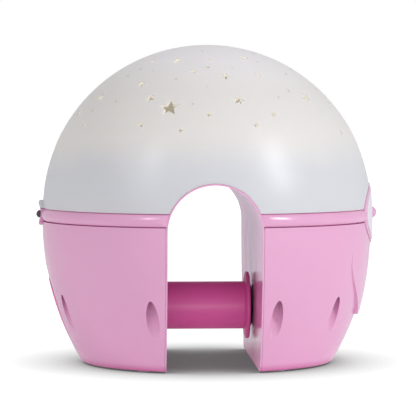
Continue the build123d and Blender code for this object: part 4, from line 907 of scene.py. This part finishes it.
white_card()
print("card:", round(2 * CARD_HALF / MM), "by", round(CARD_HIGH / MM), "mm")

# %% [markdown]
# The world lights the object from all around. A Light Path node tells which rays the camera sends
# and which are mirrored, so that the background can be plain white without more light on the
# object.


# %% World
SURROUNDING = 0.54
MIRRORED_WHITE = 0.25


def white_world():
    world = bpy.data.worlds.new("studio")
    bpy.context.scene.world = world
    world.use_nodes = True
    tree = world.node_tree
    base = tree.nodes["Background"]
    base.inputs["Color"].default_value = (1.0, 1.0, 1.0, 1.0)
    base.inputs["Strength"].default_value = SURROUNDING
    shown = tree.nodes.new("ShaderNodeBackground")
    shown.inputs["Color"].default_value = (1.0, 1.0, 1.0, 1.0)
    path = tree.nodes.new("ShaderNodeLightPath")
    mix = tree.nodes.new("ShaderNodeMixShader")
    mirrored = remap(tree, path.outputs["Is Glossy Ray"], 0.0, 1.0, 0.0, MIRRORED_WHITE)
    seen = tree.nodes.new("ShaderNodeMath")
    seen.operation = "MAXIMUM"
    tree.links.new(path.outputs["Is Camera Ray"], seen.inputs[0])
    tree.links.new(mirrored, seen.inputs[1])
    tree.links.new(seen.outputs["Value"], mix.inputs["Fac"])
    tree.links.new(base.outputs["Background"], mix.inputs[1])
    tree.links.new(shown.outputs["Background"], mix.inputs[2])
    tree.links.new(mix.outputs["Shader"], tree.nodes["World Output"].inputs["Surface"])


white_world()
print("surrounding light:", SURROUNDING)

# %% [markdown]
# Two upright soft boxes stand to the left and right in front of the object, the right one
# stronger. They make the two soft highlights on the dome and the short streaks on the band. A
# third lamp is a narrow spot that shines along the slot and lights little more than the clamp.


# %% Soft boxes
BOX_WIDTH = 0.16
BOX_HEIGHT = 0.55
LIT_MIDDLE = Vector((0.0, 0.0, 0.08))


def hang_lamp(data, place, target):
    """Put a lamp at a place so that it shines at the target."""
    lamp_object = bpy.data.objects.new(data.name, data)
    lamp_object.location = place
    lamp_object.rotation_euler = (target - Vector(place)).to_track_quat("-Z", "Y").to_euler()
    bpy.context.scene.collection.objects.link(lamp_object)


def soft_box(name, place, power, tint=(1.0, 1.0, 1.0)):
    data = bpy.data.lights.new(name, "AREA")
    data.shape = "RECTANGLE"
    data.size = BOX_WIDTH
    data.size_y = BOX_HEIGHT
    data.energy = power
    data.color = tint
    hang_lamp(data, place, LIT_MIDDLE)
    print(name, power, "W")


soft_box("right_box", (0.80, -0.66, 0.62), 5.7, (0.97, 0.985, 1.0))
soft_box("left_box", (-0.74, -0.74, 0.66), 2.25)

# %% A narrow lamp that reaches into the slot
CLAMP_MIDDLE = Vector((0.0, 0.0, 24.0 * MM))
SPOT_PLACE = (-0.02, -1.0, 12.0 * MM)
SPOT_DEGREES = 2.9
SPOT_POWER = 4.4
SPOT_SOFT_R = 15.0 * MM

spot = bpy.data.lights.new("slot_lamp", "SPOT")
spot.energy = SPOT_POWER
spot.spot_size = math.radians(SPOT_DEGREES)
spot.spot_blend = 0.6
spot.shadow_soft_size = SPOT_SOFT_R
hang_lamp(spot, SPOT_PLACE, CLAMP_MIDDLE)
print("slot lamp:", SPOT_POWER, "W in", SPOT_DEGREES, "degrees")

# %% [markdown]
# The camera has a long lens and stands more than a metre away, a little lower than the top of the
# object, so that the lines of the slot stay upright and nearly parallel. It looks slightly down and
# along the slot from three degrees to the left, which shows the inside of the right-hand wall.


# %% Camera
CAMERA_DISTANCE = 1.238
CAMERA_TURN = math.radians(2.93)
CAMERA_HEIGHT = 130.8 * MM
CAMERA_PITCH = math.radians(2.496)
LENS = 214.0
PICTURE_PIXELS = 416
SHIFT_PIXELS = 1.2

camera_data = bpy.data.cameras.new("camera")
camera_data.sensor_width = 36.0
camera_data.lens = LENS
camera_data.clip_end = 50.0
camera_data.shift_x = SHIFT_PIXELS / PICTURE_PIXELS
camera = bpy.data.objects.new("camera", camera_data)
camera.location = (
    -CAMERA_DISTANCE * math.sin(CAMERA_TURN),
    -CAMERA_DISTANCE * math.cos(CAMERA_TURN),
    CAMERA_HEIGHT,
)
camera.rotation_euler = (math.radians(90) - CAMERA_PITCH, 0.0, -CAMERA_TURN)
bpy.context.scene.collection.objects.link(camera)
bpy.context.scene.camera = camera
bpy.context.scene.view_settings.view_transform = "Standard"
print("camera:", CAMERA_DISTANCE, "m away, lens", LENS, "mm")
